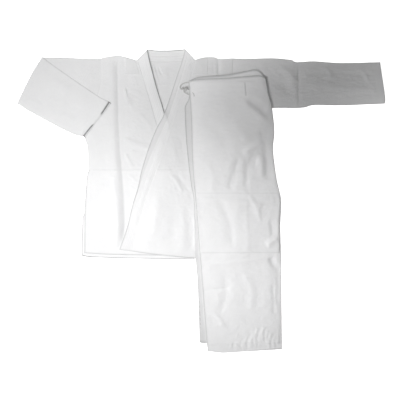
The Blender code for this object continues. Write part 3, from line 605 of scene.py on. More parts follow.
def wall_points(grid, low, thick, worn_and_shaded):
    """A wall of cloth from low to low + thick, closed round its rim by a half-round edge.

    Top and bottom are the grid drawn in by the edge's rounding, and the ring between them is
    the grid's own rim at half height. Wear and painted edge shade fade from each edge as a bell
    curve.
    """
    rows, columns = grid.shape[:2]
    count = rows * columns
    rim = rim_of(rows, columns)
    ring = 2 * count + np.arange(len(rim))
    thick = np.broadcast_to(thick, low.shape)
    inner = trimmed(grid, EDGE_ROUND)
    under = np.dstack([inner, low]).reshape(-1, 3)
    over = np.dstack([inner, low + thick]).reshape(-1, 3)
    middle = np.dstack([grid, low + thick / 2]).reshape(-1, 3)[rim]
    faces = [
        grid_faces(rows, columns, base=count),
        grid_faces(rows, columns, flip=True),
        belt(rim, ring),
        belt(ring, rim + count),
    ]
    chart = np.dstack([run_length(grid, 1), -run_length(grid, 0)]).reshape(-1, 2)
    uv = np.concatenate([chart, chart, chart[rim]])
    rubbed_and_shaded = np.max([share * np.exp(-(distance / WEAR_AND_SHADE_WIDTH) ** 2)
                     for share, distance in zip(worn_and_shaded, from_edges(grid))], axis=0).ravel()
    wear = np.concatenate([rubbed_and_shaded, rubbed_and_shaded, rubbed_and_shaded[rim]])
    return np.concatenate([under, over, middle]), faces, uv, wear


def laid(name, grid, height):
    """The upper surface of a piece, whose relief is kept for the pieces that lie on it."""
    top = np.dstack([grid, height])
    reliefs[name] = relief_of(top)
    return top


def cloth_sheet(name, grid, low, thick, weave):
    """One flat piece of cloth: its mesh, its body and the solid that it stands for. Returns the
    upper surface.
    """
    points, faces, uv, wear = wall_points(grid, low, thick, WEAR_AND_SHADE[name])
    obj = mesh_object(f"{name}_cloth", points, faces, uv, wear)
    finish_piece(obj, cloth_material(weave), (name,))
    return laid(name, grid, low + thick)


def flat_rings(lower, upper, low, high, inset):
    """Rings of a flattened tube: across its lower face, round a half circle, back, and round."""
    below = np.dstack([drawn_in(lower, inset + EDGE_ROUND), low])
    above = np.dstack([drawn_in(upper, inset + EDGE_ROUND), high])
    rounds = []
    for side in (-0.7, 0.0, 0.7):
        reach = inset + EDGE_ROUND * (1 - np.sqrt(1 - side**2))
        height = (low + high) / 2 + side * (high - low) / 2
        rounds.append(np.dstack([drawn_in((lower + upper) / 2, reach), height]))
    turn_out = [ring[:, -1:] for ring in rounds]
    turn_back = [ring[:, :1] for ring in reversed(rounds)]
    return np.concatenate([below, *turn_out, above[:, ::-1], *turn_back], axis=1)


def tube_object(name, outer, inner, weave, slot, shadow=0.0):
    """A wall of cloth between two surfaces of closed rings, open at both ends.

    Wear and painted edge shade fade from its ends and its turned edges over a point or two. A
    painted shadow adds to it round the last ring.
    """
    start, end, turns = TUBE_WEAR_AND_SHADE[name]
    rings, sides = outer.shape[:2]
    count = rings * sides
    first, last = np.arange(sides), count - sides + np.arange(sides)
    faces = [
        grid_faces(rings, sides, wrap=True),
        grid_faces(rings, sides, base=count, wrap=True, flip=True),
        belt(first + count, first),
        belt(last, last + count),
    ]
    around, walked = (np.linalg.norm(np.diff(outer, axis=axis, prepend=start), axis=-1)
                      for axis, start in ((1, outer[:, :1]), (0, outer[:1])))
    walked = np.broadcast_to(walked.mean(axis=1, keepdims=True), around.shape)
    chart = np.dstack([around.cumsum(axis=1), -walked.cumsum(axis=0)]).reshape(-1, 2)
    points = np.concatenate([outer.reshape(-1, 3), inner.reshape(-1, 3)])
    across = (sides - 6) // 2
    place = np.arange(sides) % (across + 3)
    place = np.maximum(np.minimum(place, across - 1 - place), 0)
    rubbed_and_shaded = np.tile(turns * np.exp(-((place / 0.8) ** 2)), (rings, 1))
    for depth, share in enumerate((1.0, 0.6)):
        for ring, worn_and_shaded in ((depth, start), (-1 - depth, end + shadow)):
            rubbed_and_shaded[ring] = np.maximum(rubbed_and_shaded[ring], share * worn_and_shaded)
    obj = mesh_object(f"{name}_cloth", points, faces, np.tile(chart, (2, 1)), np.tile(rubbed_and_shaded.ravel(), 2))
    return finish_piece(obj, cloth_material(weave), (name,))


# ------------------------------------------------------------------------------------- stitches
def sampled(surface, rows, columns):
    """Points of a grid surface at fractional rows and columns."""
    rows = np.clip(rows, 0, surface.shape[0] - 1.001)
    columns = np.clip(columns, 0, surface.shape[1] - 1.001)
    i, j = rows.astype(int), columns.astype(int)
    s, t = (rows - i)[..., None], (columns - j)[..., None]
    return ((1 - s) * (1 - t) * surface[i, j] + (1 - s) * t * surface[i, j + 1]
            + s * (1 - t) * surface[i + 1, j] + s * t * surface[i + 1, j + 1])


def between(surface, high, low, count):
    """The part of a surface between two levels of y, in count rows.

    On each column the row of a level is found by stepping along it by the distance still left.
    """
    columns = np.broadcast_to(np.arange(surface.shape[1], dtype=float), (count, surface.shape[1]))
    wanted = np.linspace(high, low, count)[:, None]
    spacing = (surface[0, :, 1] - surface[-1, :, 1]) / (surface.shape[0] - 1)
    rows = (surface[0, :, 1] - wanted) / spacing
    for _ in range(6):
        rows = rows + (sampled(surface, rows, columns)[..., 1] - wanted) / spacing
    return sampled(surface, rows, columns)


def seam_line(surface, edge, distance, start=0.0, end=1.0):
    """Points on a surface at a distance in mm inside its left, right, top or bottom edge."""
    turned = surface if edge in ("left", "right") else surface.transpose(1, 0, 2)
    rows, columns = turned.shape[:2]
    along_rows = np.linspace(start, end, 4 * rows) * (rows - 1)
    width = run_length(turned, 1)[:, -1]
    part = distance / np.interp(along_rows, np.arange(rows), width) * (columns - 1)
    if edge in ("right", "bottom"):
        part = columns - 1 - part
    return sampled(turned, along_rows, part)


def seam_rows(surface, *rows):
    """Seam lines on a surface, for rows that each give an edge and distances from it."""
    return [seam_line(surface, edge, inset) for edge, *insets in rows for inset in insets]


def stitch_blocks(lines):
    """Thread over lines: at every stitch a spindle, as a ring profile swept along the line."""
    look = bpy.context.scene.gi_cloth
    pitch, radius = look.stitch / MM, look.thread / MM / 2
    profile = np.array([(-0.5, 0.0), (-0.38, 0.75), (0.0, 1.0), (0.38, 0.75), (0.5, 0.0)])
    turn = np.arange(4) * np.pi / 2 + np.pi / 4
    points, faces, base = [], [], 0
    for line in lines:
        lengths = np.concatenate([[0], np.cumsum(np.linalg.norm(np.diff(line, axis=0), axis=1))])
        count = max(2, int(lengths[-1] / pitch))
        middle = (np.arange(count) + 0.5) * lengths[-1] / count
        spots = [np.stack([np.interp(middle + shift, lengths, line[:, k]) for k in range(3)], axis=-1)
                 for shift in (-pitch / 2, 0.0, pitch / 2)]
        ahead = spots[2] - spots[0]
        ahead /= np.maximum(np.linalg.norm(ahead, axis=1, keepdims=True), 1e-6)
        beside = np.stack([-ahead[:, 1], ahead[:, 0], np.zeros(count)], axis=-1)
        up = np.cross(ahead, beside)
        ring = (radius * profile[:, 1])[None, :, None, None] * (
            np.cos(turn)[:, None] * beside[:, None, None] + np.sin(turn)[:, None] * up[:, None, None])
        reach = (0.82 * pitch * profile[:, 0])[None, :, None, None]
        spine = spots[1][:, None, None] + reach * ahead[:, None, None]
        points.append((spine + ring + (0, 0, 0.1)).reshape(-1, 3))
        block = grid_faces(len(profile), len(turn), wrap=True, flip=True)
        offsets = base + np.arange(count) * len(profile) * len(turn)
        faces.append((block[None] + offsets[:, None, None]).reshape(-1, 4))
        base += count * len(profile) * len(turn)
    return np.concatenate(points), np.concatenate(faces)


def sew(name, lines):
    """One piece of thread for all the given seam lines."""
    points, faces = stitch_blocks(lines)
    obj = mesh_object(name, points, [faces])
    return finish_piece(obj, thread_material(), ())


# ------------------------------------------------------------------------------------ materials
def shader_nodes(name):
    """A new material, its node tree and its surface shader."""
    made = bpy.data.materials.new(name)
    made.use_nodes = True
    tree = made.node_tree
    return made, tree, tree.nodes["Principled BSDF"]


def set_inputs(node, **values):
    """Set a node's own sockets, named with _ for a space."""
    for name, value in values.items():
        node.inputs[name.replace("_", " ")].default_value = value


def math_node(tree, operation, *values):
    """A math node; each value is a number or a socket."""
    node = tree.nodes.new("ShaderNodeMath")
    node.operation = operation
    for socket, value in zip(node.inputs, values):
        if isinstance(value, (int, float)):
            socket.default_value = value
        else:
            tree.links.new(value, socket)
    return node.outputs[0]


def noise_node(tree, scale, detail=2.0, roughness=0.5):
    """Soft noise on Object coordinates."""
    place = tree.nodes.new("ShaderNodeTexCoord")
    node = tree.nodes.new("ShaderNodeTexNoise")
    set_inputs(node, Scale=scale, Detail=detail, Roughness=roughness)
    tree.links.new(place.outputs["Object"], node.inputs["Vector"])
    return node.outputs["Fac"]


def mix_node(tree, factor, first, second):
    """A blend from a first colour, or a socket's, to a second colour."""
    node = tree.nodes.new("ShaderNodeMix")
    node.data_type = "RGBA"
    tree.links.new(factor, node.inputs["Factor"])
    if isinstance(first, bpy.types.NodeSocket):
        tree.links.new(first, node.inputs["A"])
    else:
        node.inputs["A"].default_value = (*first, 1)
    node.inputs["B"].default_value = (*second, 1)
    return node.outputs["Result"]


def add_relief(tree, shader, height, distance, strength=1.0):
    """Tilt the shader's normal by a height."""
    node = tree.nodes.new("ShaderNodeBump")
    set_inputs(node, Strength=strength, Distance=distance)
    tree.links.new(height, node.inputs["Height"])
    tree.links.new(node.outputs["Normal"], shader.inputs["Normal"])


def grain(tree, kind, pitch):
    """Height of a weave from 0 to 1, on the cloth's own chart in metres.

    pearl: oval grains in rows, every other row shifted by half a grain. diamond: two crossed sets
    of slanting ribs. drill: one set of fine slanting ribs.
    """
    chart = tree.nodes.new("ShaderNodeUVMap")
    chart.uv_map = "cloth"
    split = tree.nodes.new("ShaderNodeSeparateXYZ")
    tree.links.new(chart.outputs[0], split.inputs[0])
    x, y = split.outputs[0], split.outputs[1]

    def wave(value, factor):
        return math_node(tree, "SINE", math_node(tree, "MULTIPLY", value, factor))

    if kind == "pearl":
        row = math_node(tree, "MULTIPLY", y, 1 / pitch)
        odd = math_node(tree, "MODULO", math_node(tree, "FLOOR", row), 2.0)
        column = math_node(tree, "MULTIPLY_ADD", odd, 0.5, math_node(tree, "MULTIPLY", x, 1 / (1.9 * pitch)))
        across, down = (wave(math_node(tree, "FRACT", place), np.pi) for place in (column, row))
        oval = math_node(tree, "ABSOLUTE", math_node(tree, "MULTIPLY", across, down))
        return math_node(tree, "POWER", oval, 0.6)
    if kind == "diamond":
        ribs = (wave(math_node(tree, way, x, y), np.pi / pitch) for way in ("ADD", "SUBTRACT"))
        return math_node(tree, "ABSOLUTE", math_node(tree, "MULTIPLY", *ribs))
    ribs = wave(math_node(tree, "MULTIPLY_ADD", y, 0.6, x), 2 * np.pi / pitch)
    return math_node(tree, "MULTIPLY_ADD", ribs, 0.5, 0.5)


# Each cloth's weave, the depth of its relief in mm, and how white it is beside the set's cotton.
WEAVES = {
    "pearl_weave": ("pearl", 0.6, 1.0),
    "patch_weave": ("pearl", 0.5, 0.95),
    "skirt_weave": ("diamond", 0.3, 1.02),
    "band_drill": ("drill", 0.15, 0.99),
    "facing_drill": ("drill", 0.15, 0.95),
    # The top leg and its knee patch are whiter than the set's cotton, partly as painted light on the
    # trousers.
    "leg_drill": ("drill", 0.15, 1.10),
    # The under leg is the same drill as the top leg, painted darker as shade for the strip of it that shows.
    "under_leg_drill": ("drill", 0.2, 0.90),
}
SLUB_SCALE, CLOUD_SCALE, TWIST_SCALE, BRAID_SCALE = 420, 26, 1500, 260


def cloth_material(name):
    """White cotton: a weave, slubs in the yarn, faint cloudiness, edges darkened by wear and
    painted shade, and a soft nap.
    """
    if name in bpy.data.materials:
        return bpy.data.materials[name]
    kind, depth, shade = WEAVES[name]
    look = bpy.context.scene.gi_cloth
    made, tree, shader = shader_nodes(name)
    height = grain(tree, kind, getattr(look, kind))
    slubs = noise_node(tree, SLUB_SCALE, 3)
    clouds = noise_node(tree, CLOUD_SCALE, 5, 0.6)

    cotton = np.array(look.cotton[:3]) * shade
    yarn = math_node(tree, "MULTIPLY_ADD", clouds, 0.55, math_node(tree, "MULTIPLY", slubs, 0.18))
    tone = math_node(tree, "MULTIPLY_ADD", height, 0.40, yarn)
    bare_cloth = mix_node(tree, tone, cotton * (0.90, 0.90, 0.91), np.minimum(cotton * 1.03, 0.96))
    # Edges darken by a per-point attribute: rubbed wear, and painted shade along steps, gaps and the cuff's
    # opening.
    rubbed_and_shaded = tree.nodes.new("ShaderNodeAttribute")
    rubbed_and_shaded.attribute_name = "wear"
    uneven = math_node(tree, "MULTIPLY_ADD", slubs, 0.42, 0.42)
    worn_and_shaded = math_node(tree, "MULTIPLY", rubbed_and_shaded.outputs["Fac"], uneven)
    tree.links.new(mix_node(tree, worn_and_shaded, bare_cloth, cotton * look.rubbed_and_shaded), shader.inputs["Base Color"])

    add_relief(tree, shader, math_node(tree, "MULTIPLY_ADD", slubs, 0.35, height), depth * MM, 0.8)
    tree.links.new(math_node(tree, "MULTIPLY_ADD", clouds, -0.12, 0.93), shader.inputs["Roughness"])
    set_inputs(shader, Specular_IOR_Level=0.18, Sheen_Weight=look.nap, Sheen_Roughness=0.55,
               Sheen_Tint=(1, 1, 1, 1))
    return made


def thread_material():
    """Bright cotton thread with the twist of its plies."""
    if "thread" in bpy.data.materials:
        return bpy.data.materials["thread"]
    made, tree, shader = shader_nodes("thread")
    twist = noise_node(tree, TWIST_SCALE)
    tone = mix_node(tree, twist, (0.84, 0.84, 0.84), (0.94, 0.94, 0.93))
    tree.links.new(tone, shader.inputs["Base Color"])
    add_relief(tree, shader, twist, 0.0001)
    set_inputs(shader, Roughness=0.7, Sheen_Weight=0.1)
    return made


def cord_material():
    """Woven cotton cord: a fine braid, as two crossed sets of ribs on Object coordinates, its dark
    end deepened as painted shadow.
    """
    if "cord" in bpy.data.materials:
        return bpy.data.materials["cord"]
    made, tree, shader = shader_nodes("cord")
    place = tree.nodes.new("ShaderNodeTexCoord")
    ribs = []
    for direction in ("X", "Y"):
        wave = tree.nodes.new("ShaderNodeTexWave")
        wave.bands_direction = direction
        set_inputs(wave, Scale=BRAID_SCALE, Distortion=1.5, Detail_Scale=4)
        tree.links.new(place.outputs["Object"], wave.inputs["Vector"])
        ribs.append(wave.outputs["Fac"])
    braid = math_node(tree, "MULTIPLY", *ribs)
    # The braid's dark end is deepened as painted shadow in the knot and along the cord.
    tone = mix_node(tree, braid, (0.55, 0.55, 0.54), (0.95, 0.95, 0.94))
    tree.links.new(tone, shader.inputs["Base Color"])
    add_relief(tree, shader, braid, 0.0004, 0.7)
    set_inputs(shader, Roughness=0.75, Sheen_Weight=0.15)
    return made


# --------------------------------------------------------------------------------------- jacket
def body_side(armhole, side, spacing):
    """An armhole and the side seam below it, down to the waist."""
    armhole_rows, side_rows = count_for(ARMHOLE_RIGHT, spacing), count_for(SIDE_RIGHT, spacing)
    return joined(along(armhole, steps(armhole_rows)), along(side, steps(side_rows)))


def split_at_waist(points, rows_above, rows_below):
    """A lapel's edge above and below the waist seam."""
    fine = along(points, steps(2000))
    part = np.argmin(np.abs(fine[:, 1] - WAIST_Y)) / 2000
    return along(points, part * steps(rows_above)), along(points, part + (1 - part) * steps(rows_below))


def build_back():
    """The back's body and skirt: two patches between their seams, flat on the table."""
    jacket = bpy.context.scene.gi_jacket
    top = joined(*[along(edge, steps(count_for(edge, BACK_STEP)))
                   for edge in (SHOULDER_RIGHT, NECKLINE, SHOULDER_LEFT)])
    right = body_side(ARMHOLE_RIGHT, SIDE_RIGHT, BACK_STEP)
    left = body_side(ARMHOLE_LEFT, SIDE_LEFT, BACK_STEP)
    waist = level(right[-1], left[-1], len(top) - 1)
    body = trimmed(patch(top, waist, right, left))
    cloth_sheet("back_body", body, np.zeros(body.shape[:2]), jacket.body_wall / MM, "pearl_weave")

    rows = steps(count_for(BACK_VENT_RIGHT, BACK_STEP))
    vents = [along(edge, rows) for edge in (BACK_VENT_RIGHT, BACK_VENT_LEFT)]
    skirt = patch(waist + (0, TUCK), along(BACK_HEM, steps(len(top) - 1)), *vents)
    thick = jacket.skirt_wall / MM + hemmed(skirt, BACK_HEM_WIDTHS, 0.5)
    seat = cloth_sheet("back_skirt", skirt, np.zeros(skirt.shape[:2]), thick, "skirt_weave")
    sew("stitching_back", seam_rows(seat, *BACK_ROWS))


def build_neck():
    """The band behind the neck, round at its top and grooved at its stitching, and the facing."""
    jacket = bpy.context.scene.gi_jacket
    count = count_for(NECK_BAND_TOP, NECK_STEP)
    band_top, neck = along(NECK_BAND_TOP, steps(count)), along(NECKLINE, steps(count))
    sides = [level(NECK_BAND_TOP[k], NECKLINE[k], 40) for k in (0, -1)]
    band = trimmed(patch(band_top, neck, *sides), 3 * SEAM_SIDE)
    _, _, down, up = from_edges(band)
    depth = down + up
    part = down / depth
    round_top = np.sqrt(np.clip(1 - (1 - np.clip(part / 0.16, 0, 1)) ** 2, 0, 1))
    uneven = 0.3 * noise(band[..., 0], 3 * band[..., 1], 22, 5)
    thick = jacket.collar_thick / MM * (0.35 + 0.55 * round_top) + uneven
    rows = jacket.collar_rows - 2
    grooves = (np.arange(rows) + 1.2) / (rows + 0.8)
    for groove in grooves:
        thick = thick - 0.3 * np.exp(-((part - groove) * depth / 1.1) ** 2)
    top = cloth_sheet("collar_neck", band, np.zeros(band.shape[:2]), thick, "facing_drill")
    sew("stitching_neck", seam_rows(top, ("top", *(grooves * NECK_BAND))))

    yoke_top, yoke_bottom = (along(edge, steps(90)) for edge in (YOKE_TOP, YOKE_BOTTOM))
    yoke_top = yoke_top + (0, TUCK)
    yoke = patch(yoke_top, yoke_bottom, *[level(yoke_top[k], yoke_bottom[k], 44) for k in (0, -1)])
    low = settle(yoke, ("back_body",)) + 0.6 * lofted(yoke, NECK_FOLDS, 11, (0, 0, 1, 1))
    face = cloth_sheet("inner_yoke", yoke, low, jacket.yoke_wall / MM, "facing_drill")
    sew("stitching_yoke", seam_rows(face, *YOKE_ROWS))


def build_lapel(side, seam, fold, shape, under):
    """A stretch of the collar band.

    From its folded edge a strip slopes by its tilt to a stitched groove, then the band rises over
    a few millimetres to its full thickness and thins again over its last fifth, to its seam.
    """
    jacket = bpy.context.scene.gi_jacket
    across = np.concatenate([0.45 * steps(18)[:-1], 0.45 + 0.55 * steps(20)])
    free = along(fold, steps(len(seam) - 1))
    grid = trimmed(free[:, None] + across[None, :, None] * (seam - free)[:, None])
    shares = np.array(shape).T
    place = np.linspace(0, 1, len(seam))[:, None]
    groove, tilt, edge, full = (np.interp(place, shares[0], column) for column in shares[1:])
    width = from_edges(grid)[0] + from_edges(grid)[1]
    beyond = (across[None] - groove) * width
    crown = jacket.collar_thick / MM * full
    strip = crown * edge - tilt * (across[None] / groove - 0.5)
    rise = smooth(0.08 + beyond / ((1 - groove) * width * 0.75))
    fall = 1 - 0.6 * smooth((across[None] - 0.35) / 0.65)
    thick = strip * (1 - rise) + crown * fall * rise - 0.6 * np.exp(-(beyond / 1.3) ** 2)
    rows = jacket.collar_rows
    places = groove + (0.96 - groove) * (np.arange(rows) + 0.5) / rows
    for row in places.T:
        thick = thick - 0.4 * np.exp(-((across[None] - row[:, None]) * width / 1.2) ** 2)
    thick = np.maximum(thick + 0.25 * noise(grid[..., 0], grid[..., 1], 26, 31), 1.2)
    low = settle(grid, under)
    top = cloth_sheet(f"collar_{side}", grid, low, thick, "band_drill")
    span = np.linspace(0.004, 0.996, 3 * len(seam)) * (len(seam) - 1)
    lines = []
    for column in (groove[:, 0], *places.T):
        column = np.interp(column, across, np.arange(len(across)))
        lines.append(sampled(top, span, np.interp(span, np.arange(len(seam)), column)))
    sew(f"stitching_collar_{side}", lines)


def build_front(side, under):
    """One front, in its body and its skirt, and the stretch of collar along it.

    Both are parts of one grid, laid in one go, so their folds run on over the waist seam, which
    is drawn in a little. The body's cloth thins to half its wall at the outer edge.
    """
    jacket = bpy.context.scene.gi_jacket
    right = side == "right"
    armhole, flank, vent, shoulder, hem, seam, fold, shape = (
        (ARMHOLE_RIGHT, SIDE_RIGHT, FRONT_VENT_RIGHT, SHOULDER_RIGHT, RIGHT_HEM, RIGHT_LAPEL_SEAM,
         RIGHT_LAPEL_FOLD, RIGHT_LAPEL_SHAPE) if right else
        (ARMHOLE_LEFT, SIDE_LEFT, FRONT_VENT_LEFT, SHOULDER_LEFT, LEFT_HEM, LEFT_LAPEL_SEAM,
         LEFT_LAPEL_FOLD, LEFT_LAPEL_SHAPE))
    spacing = jacket.mesh_step / MM
    outer = body_side(armhole, flank, spacing)
    vent = along(vent, steps(count_for(vent, spacing)))
    seam_up, seam_down = split_at_waist(seam, len(outer) - 1, len(vent) - 1)
    above, below = ((outer, seam_up), (vent, seam_down)) if right else ((seam_up, outer), (seam_down, vent))
    columns = count_for(hem, spacing)
    waist = level(above[0][-1], above[1][-1], columns)
    whole = joined(
        patch(along(shoulder, steps(columns)), waist, *above),
        patch(waist, along(hem, steps(columns)), *below),
    )
    inner, beside = (-1, -2) if right else (0, 1)
    step = whole[:, inner] - whole[:, beside]
    whole[:, inner] += TUCK * step / np.linalg.norm(step, axis=-1, keepdims=True)

    rest = settle(whole, under, 2 * DRAPE_REACH)
    seams, seed = ((0.8, 0.4, 0.5, 0.5), 41) if right else ((0.4, 0.8, 0.5, 0.5), 47)
    low = rest + lofted(whole, JACKET_FOLDS, seed, seams)
    to_waist = np.abs(whole[..., 1] - WAIST_Y)
    low = low - 0.5 * np.exp(-(to_waist / 4) ** 2) * np.minimum(1, (low - rest) / 1.0)
    outer_edge = from_edges(whole)[0 if right else 1]
    body_thick = (jacket.body_wall / MM * (0.5 + 0.5 * smooth(outer_edge / 12))
                  + 0.3 * smooth((14 - to_waist) / 3))
    hem_widths = (16, 0, 0, 22) if right else (0, 16, 0, 22)
    skirt_thick = jacket.skirt_wall / MM + hemmed(whole, hem_widths, 0.8)
    split = len(outer) - 1
    body, skirt = (
        cloth_sheet(f"front_{side}_{part}", whole[rows], low[rows], thick[rows], weave)
        for part, rows, thick, weave, slot in (
            ("body", slice(0, split + 1), body_thick, "pearl_weave", "jacket_weave"),
            ("skirt", slice(split - 1, None), skirt_thick, "skirt_weave", "skirt_cloth"),
        )
    )
    edge = "left" if right else "right"
    sew(f"stitching_front_{side}", seam_rows(body, ("bottom", 3, 10), (edge, 3, 9))
        + seam_rows(skirt, ("bottom", 20, 4), (edge, 13, 4)))
    build_lapel(side, joined(seam_up, seam_down), fold, shape, under)


def build_shoulder_patch(side, corners, under):
    """A reinforcement over the shoulder: a patch between four corners, settled on the front."""
    jacket = bpy.context.scene.gi_jacket
    a, b, c, d = corners
    grid = patch(level(a, b, 20), level(d, c, 20), level(a, d, 24), level(b, c, 24))
    low = settle(grid, under)
    thick = jacket.patch_wall / MM + 0.15 * noise(grid[..., 0], grid[..., 1], 12, 61)
    name = f"shoulder_patch_{side}"
    top = cloth_sheet(name, grid, low, thick, "patch_weave")
    sew(f"stitching_{name}", seam_rows(top, *SHOULDER_PATCH_ROWS))


def build_sleeve_left():
    """The sleeve that lies straight out, from the armhole to the cuff: a flat tube with loft."""
    jacket = bpy.context.scene.gi_jacket
    spacing, wall = jacket.mesh_step / MM, jacket.sleeve_wall / MM
    rows, columns = count_for(SLEEVE_LEFT_TOP, spacing), count_for(ARMHOLE_LEFT, spacing)
    ends = [along(edge, steps(columns)) for edge in (ARMHOLE_LEFT, CUFF_LEFT)]
    sides = [along(edge, steps(rows)) for edge in (SLEEVE_LEFT_TOP, SLEEVE_LEFT_UNDER)]
    face = patch(*sides, *ends).transpose(1, 0, 2)
    face[0, :, 0] -= TUCK
    floor = np.zeros(face.shape[:2])
    cuff = hemmed(face, CUFF_HEM_WIDTHS, 0.5)
    high = floor + 2 * wall + jacket.slit / MM + lofted(face, SLEEVE_LEFT_FOLDS, 71) + cuff
    outer = flat_rings(face, face, floor, high, 0)
    inner = flat_rings(face, face, floor + wall, high - wall - cuff, wall)
    obj = tube_object("sleeve_left", outer, inner, "pearl_weave", "jacket_weave")
    top = laid("sleeve_left", face, high)
    sew("stitching_sleeve_left", seam_rows(top, CUFF_ROWS, SHOULDER_ROW, SLEEVE_ROWS))


def turned_rings(fold_edge, outward, axis, first, second, inset):
    """Rings of the tube on its way round the fold: each height swings about the axis above it."""
    rings = []
    for angle in np.linspace(0, np.pi, 11)[1:-1]:
        faces = [(fold_edge + (axis - z) * np.sin(angle) * outward)[None] for z in (first, second)]
        heights = [np.full((1, len(fold_edge)), axis - (axis - z) * np.cos(angle))
                   for z in (first, second)]
        rings.append(flat_rings(*faces, *heights, inset))
    return rings


def build_sleeve_right(under):
    """The folded sleeve: up the arm, round the elbow's fold, and back down over itself."""
    jacket = bpy.context.scene.gi_jacket
    spacing, wall = jacket.mesh_step / MM, jacket.sleeve_wall / MM
    columns = count_for(ARMHOLE_RIGHT, spacing)
    armhole, fold_edge, cuff = (along(edge, steps(columns))
                                for edge in (ARMHOLE_RIGHT, ELBOW_FOLD, CUFF_RIGHT))
    arm_rows, forearm_rows = count_for(UPPER_ARM_TOP, spacing), count_for(FOREARM_TOP, spacing)
    arm = patch(*[along(edge, steps(arm_rows)) for edge in (UPPER_ARM_TOP, UPPER_ARM_UNDER)],
                armhole, fold_edge).transpose(1, 0, 2)
    arm[0, :, 0] += TUCK
    forearm = patch(*[along(edge, steps(forearm_rows)) for edge in (FOREARM_TOP, FOREARM_UNDER)],
                    fold_edge, cuff).transpose(1, 0, 2)

    stack = 2 * wall + jacket.slit / MM
    floor = np.zeros(arm.shape[:2])
    loft_arm = 0.6 * lofted(arm, [], 81, (0.8, 0.8, 0.4, 0.6))
    arm_face = laid("upper_arm", arm, floor + stack + loft_arm)
    axis = stack + jacket.fold_radius / MM
    rest = np.maximum(settle(forearm, (*under, "upper_arm")), axis + jacket.fold_radius / MM)
    near = smooth(from_edges(forearm)[2] / 30)
    rest = (axis + jacket.fold_radius / MM) * (1 - near) + rest * near
    loft = lofted(forearm, SLEEVE_RIGHT_FOLDS, 83, (1, 1, 1, 1), 0.6) * near
    cuff_hem = hemmed(forearm, CUFF_HEM_WIDTHS, 0.5)
    # the cuff gapes at both its ends, where its lower layer shows past the upper one, in shadow
    left, right, _, to_cuff = from_edges(forearm)
    openness = 0.25 + 0.75 * np.abs(left - right) / (left + right)
    gape = jacket.cuff_gape / MM * openness
    top = rest + stack + loft + cuff_hem + 1.5 * gape * smooth((18 - to_cuff) / 18)
    lower = forearm.copy()
    lower[-1] += 1.6 * gape[-1, :, None] * np.array([0.78, -0.62])
    rest[-1] += 0.2 * gape[-1]
    # Painted shadow in the cuff's open ends, added to the darkening of its last ring.
    dark = 2.2 * smooth((openness[-1] - 0.42) / 0.15)
    shadow = np.concatenate([dark, dark[[-1] * 3], 0 * dark, dark[[0] * 3]])

    along_fold = np.gradient(fold_edge, axis=0)
    outward = np.stack([along_fold[:, 1], -along_fold[:, 0]], axis=-1)
    outward /= np.linalg.norm(outward, axis=-1, keepdims=True)
    surfaces = []
    for inset in (0.0, wall):
        first, second = inset, stack - inset
        arm_rings = flat_rings(arm, arm, floor + first, floor + second + loft_arm, inset)
        fold_rings = turned_rings(fold_edge, outward, axis, first, second, inset)
        forearm_rings = flat_rings(forearm, lower, top - inset, rest + inset, inset)
        surfaces.append(np.concatenate([arm_rings, *fold_rings, forearm_rings]))
    obj = tube_object("sleeve_right", *surfaces, "pearl_weave", "jacket_weave", shadow)
    face = laid("sleeve_right", forearm, top)
    sew("stitching_sleeve_right", seam_rows(face, CUFF_ROWS, SLEEVE_ROWS)
        + [seam_line(arm_face, *SHOULDER_ROW, 0.0, 0.6)])


# ------------------------------------------------------------------------------------- trousers
def moved(points):
    """Points of the trousers' tables, from the jacket's zero."""
    shift = np.array(TROUSERS_AT) - np.array(JACKET_AT)
    return [(x + shift[0], y + shift[1], *rest) for x, y, *rest in points]


def build_leg(name, waists, outseam, inseam, hem, spacing, folds, seams, under, seed, weave):
    """A flattened leg: a flat tube, whose back waist edge may stand higher than its front one."""
    trousers = bpy.context.scene.gi_trousers
    wall, slit = trousers.wall / MM, trousers.slit / MM
    across, down = count_for(hem, spacing), count_for(outseam, spacing)
    sides = [along(moved(edge), steps(down)) for edge in (outseam, inseam)]
    foot = along(moved(hem), steps(across))
    back, front = (patch(along(moved(edge), steps(across)), foot, *sides) for edge in waists)
    placed = [(*fold[:4], moved(fold[4])) for fold in folds]
    low = settle(back, under, 3 * DRAPE_REACH)
    hem_band = hemmed(front, LEG_HEM_WIDTHS, 0.3)
    gape = trousers.waist_gape / MM * (1 - smooth(from_edges(front)[2] / 60))
    high = low + 2 * wall + slit + lofted(front, placed, seed, seams) + hem_band + gape
    outer = flat_rings(back, front, low, high, 0)
    inner = flat_rings(back, front, low + wall, high - wall - hem_band, wall)
    obj = tube_object(name, outer, inner, weave, "trouser_drill")
    return laid(name, front, high)


def build_knee_patch(top):
    """A second layer on the leg that shows, from the leg's own points between two levels."""
    trousers = bpy.context.scene.gi_trousers
    waist = moved([(0, 0)])[0][1]
    count = int((KNEE_TOP_Y - KNEE_BOTTOM_Y) * MM / trousers.mesh_step)
    face = between(top, waist + KNEE_TOP_Y, waist + KNEE_BOTTOM_Y, count)[:, 1:-1]
    grid, low = face[..., :2], face[..., 2] + 0.2
    down = from_edges(grid)[2]
    thick = (trousers.patch_wall / MM * (0.35 + 0.65 * smooth(down / 30))
             + hemmed(grid, KNEE_HEM_WIDTHS, 0.3))
    face = cloth_sheet("knee_patch_right", grid, low, thick, "leg_drill")
    sew("stitching_knee_patch", seam_rows(face, *KNEE_ROWS))


def build_keeper():
    """The tape that keeps the drawstring: a strip between four corners, with a soft ripple."""
    trousers = bpy.context.scene.gi_trousers
    a, b, c, d = moved(KEEPER)
    grid = patch(level(a, b, 5), level(d, c, 5), level(a, d, 24), level(b, c, 24))
    low = settle(grid, ("leg_right",))
    thick = trousers.keeper_wall / MM + 0.3 * np.abs(np.sin(run_length(grid, 0)))
    face = cloth_sheet("drawstring_keeper", grid, low, thick, "band_drill")
    sew("stitching_keeper", seam_rows(face, *KEEPER_ROWS))


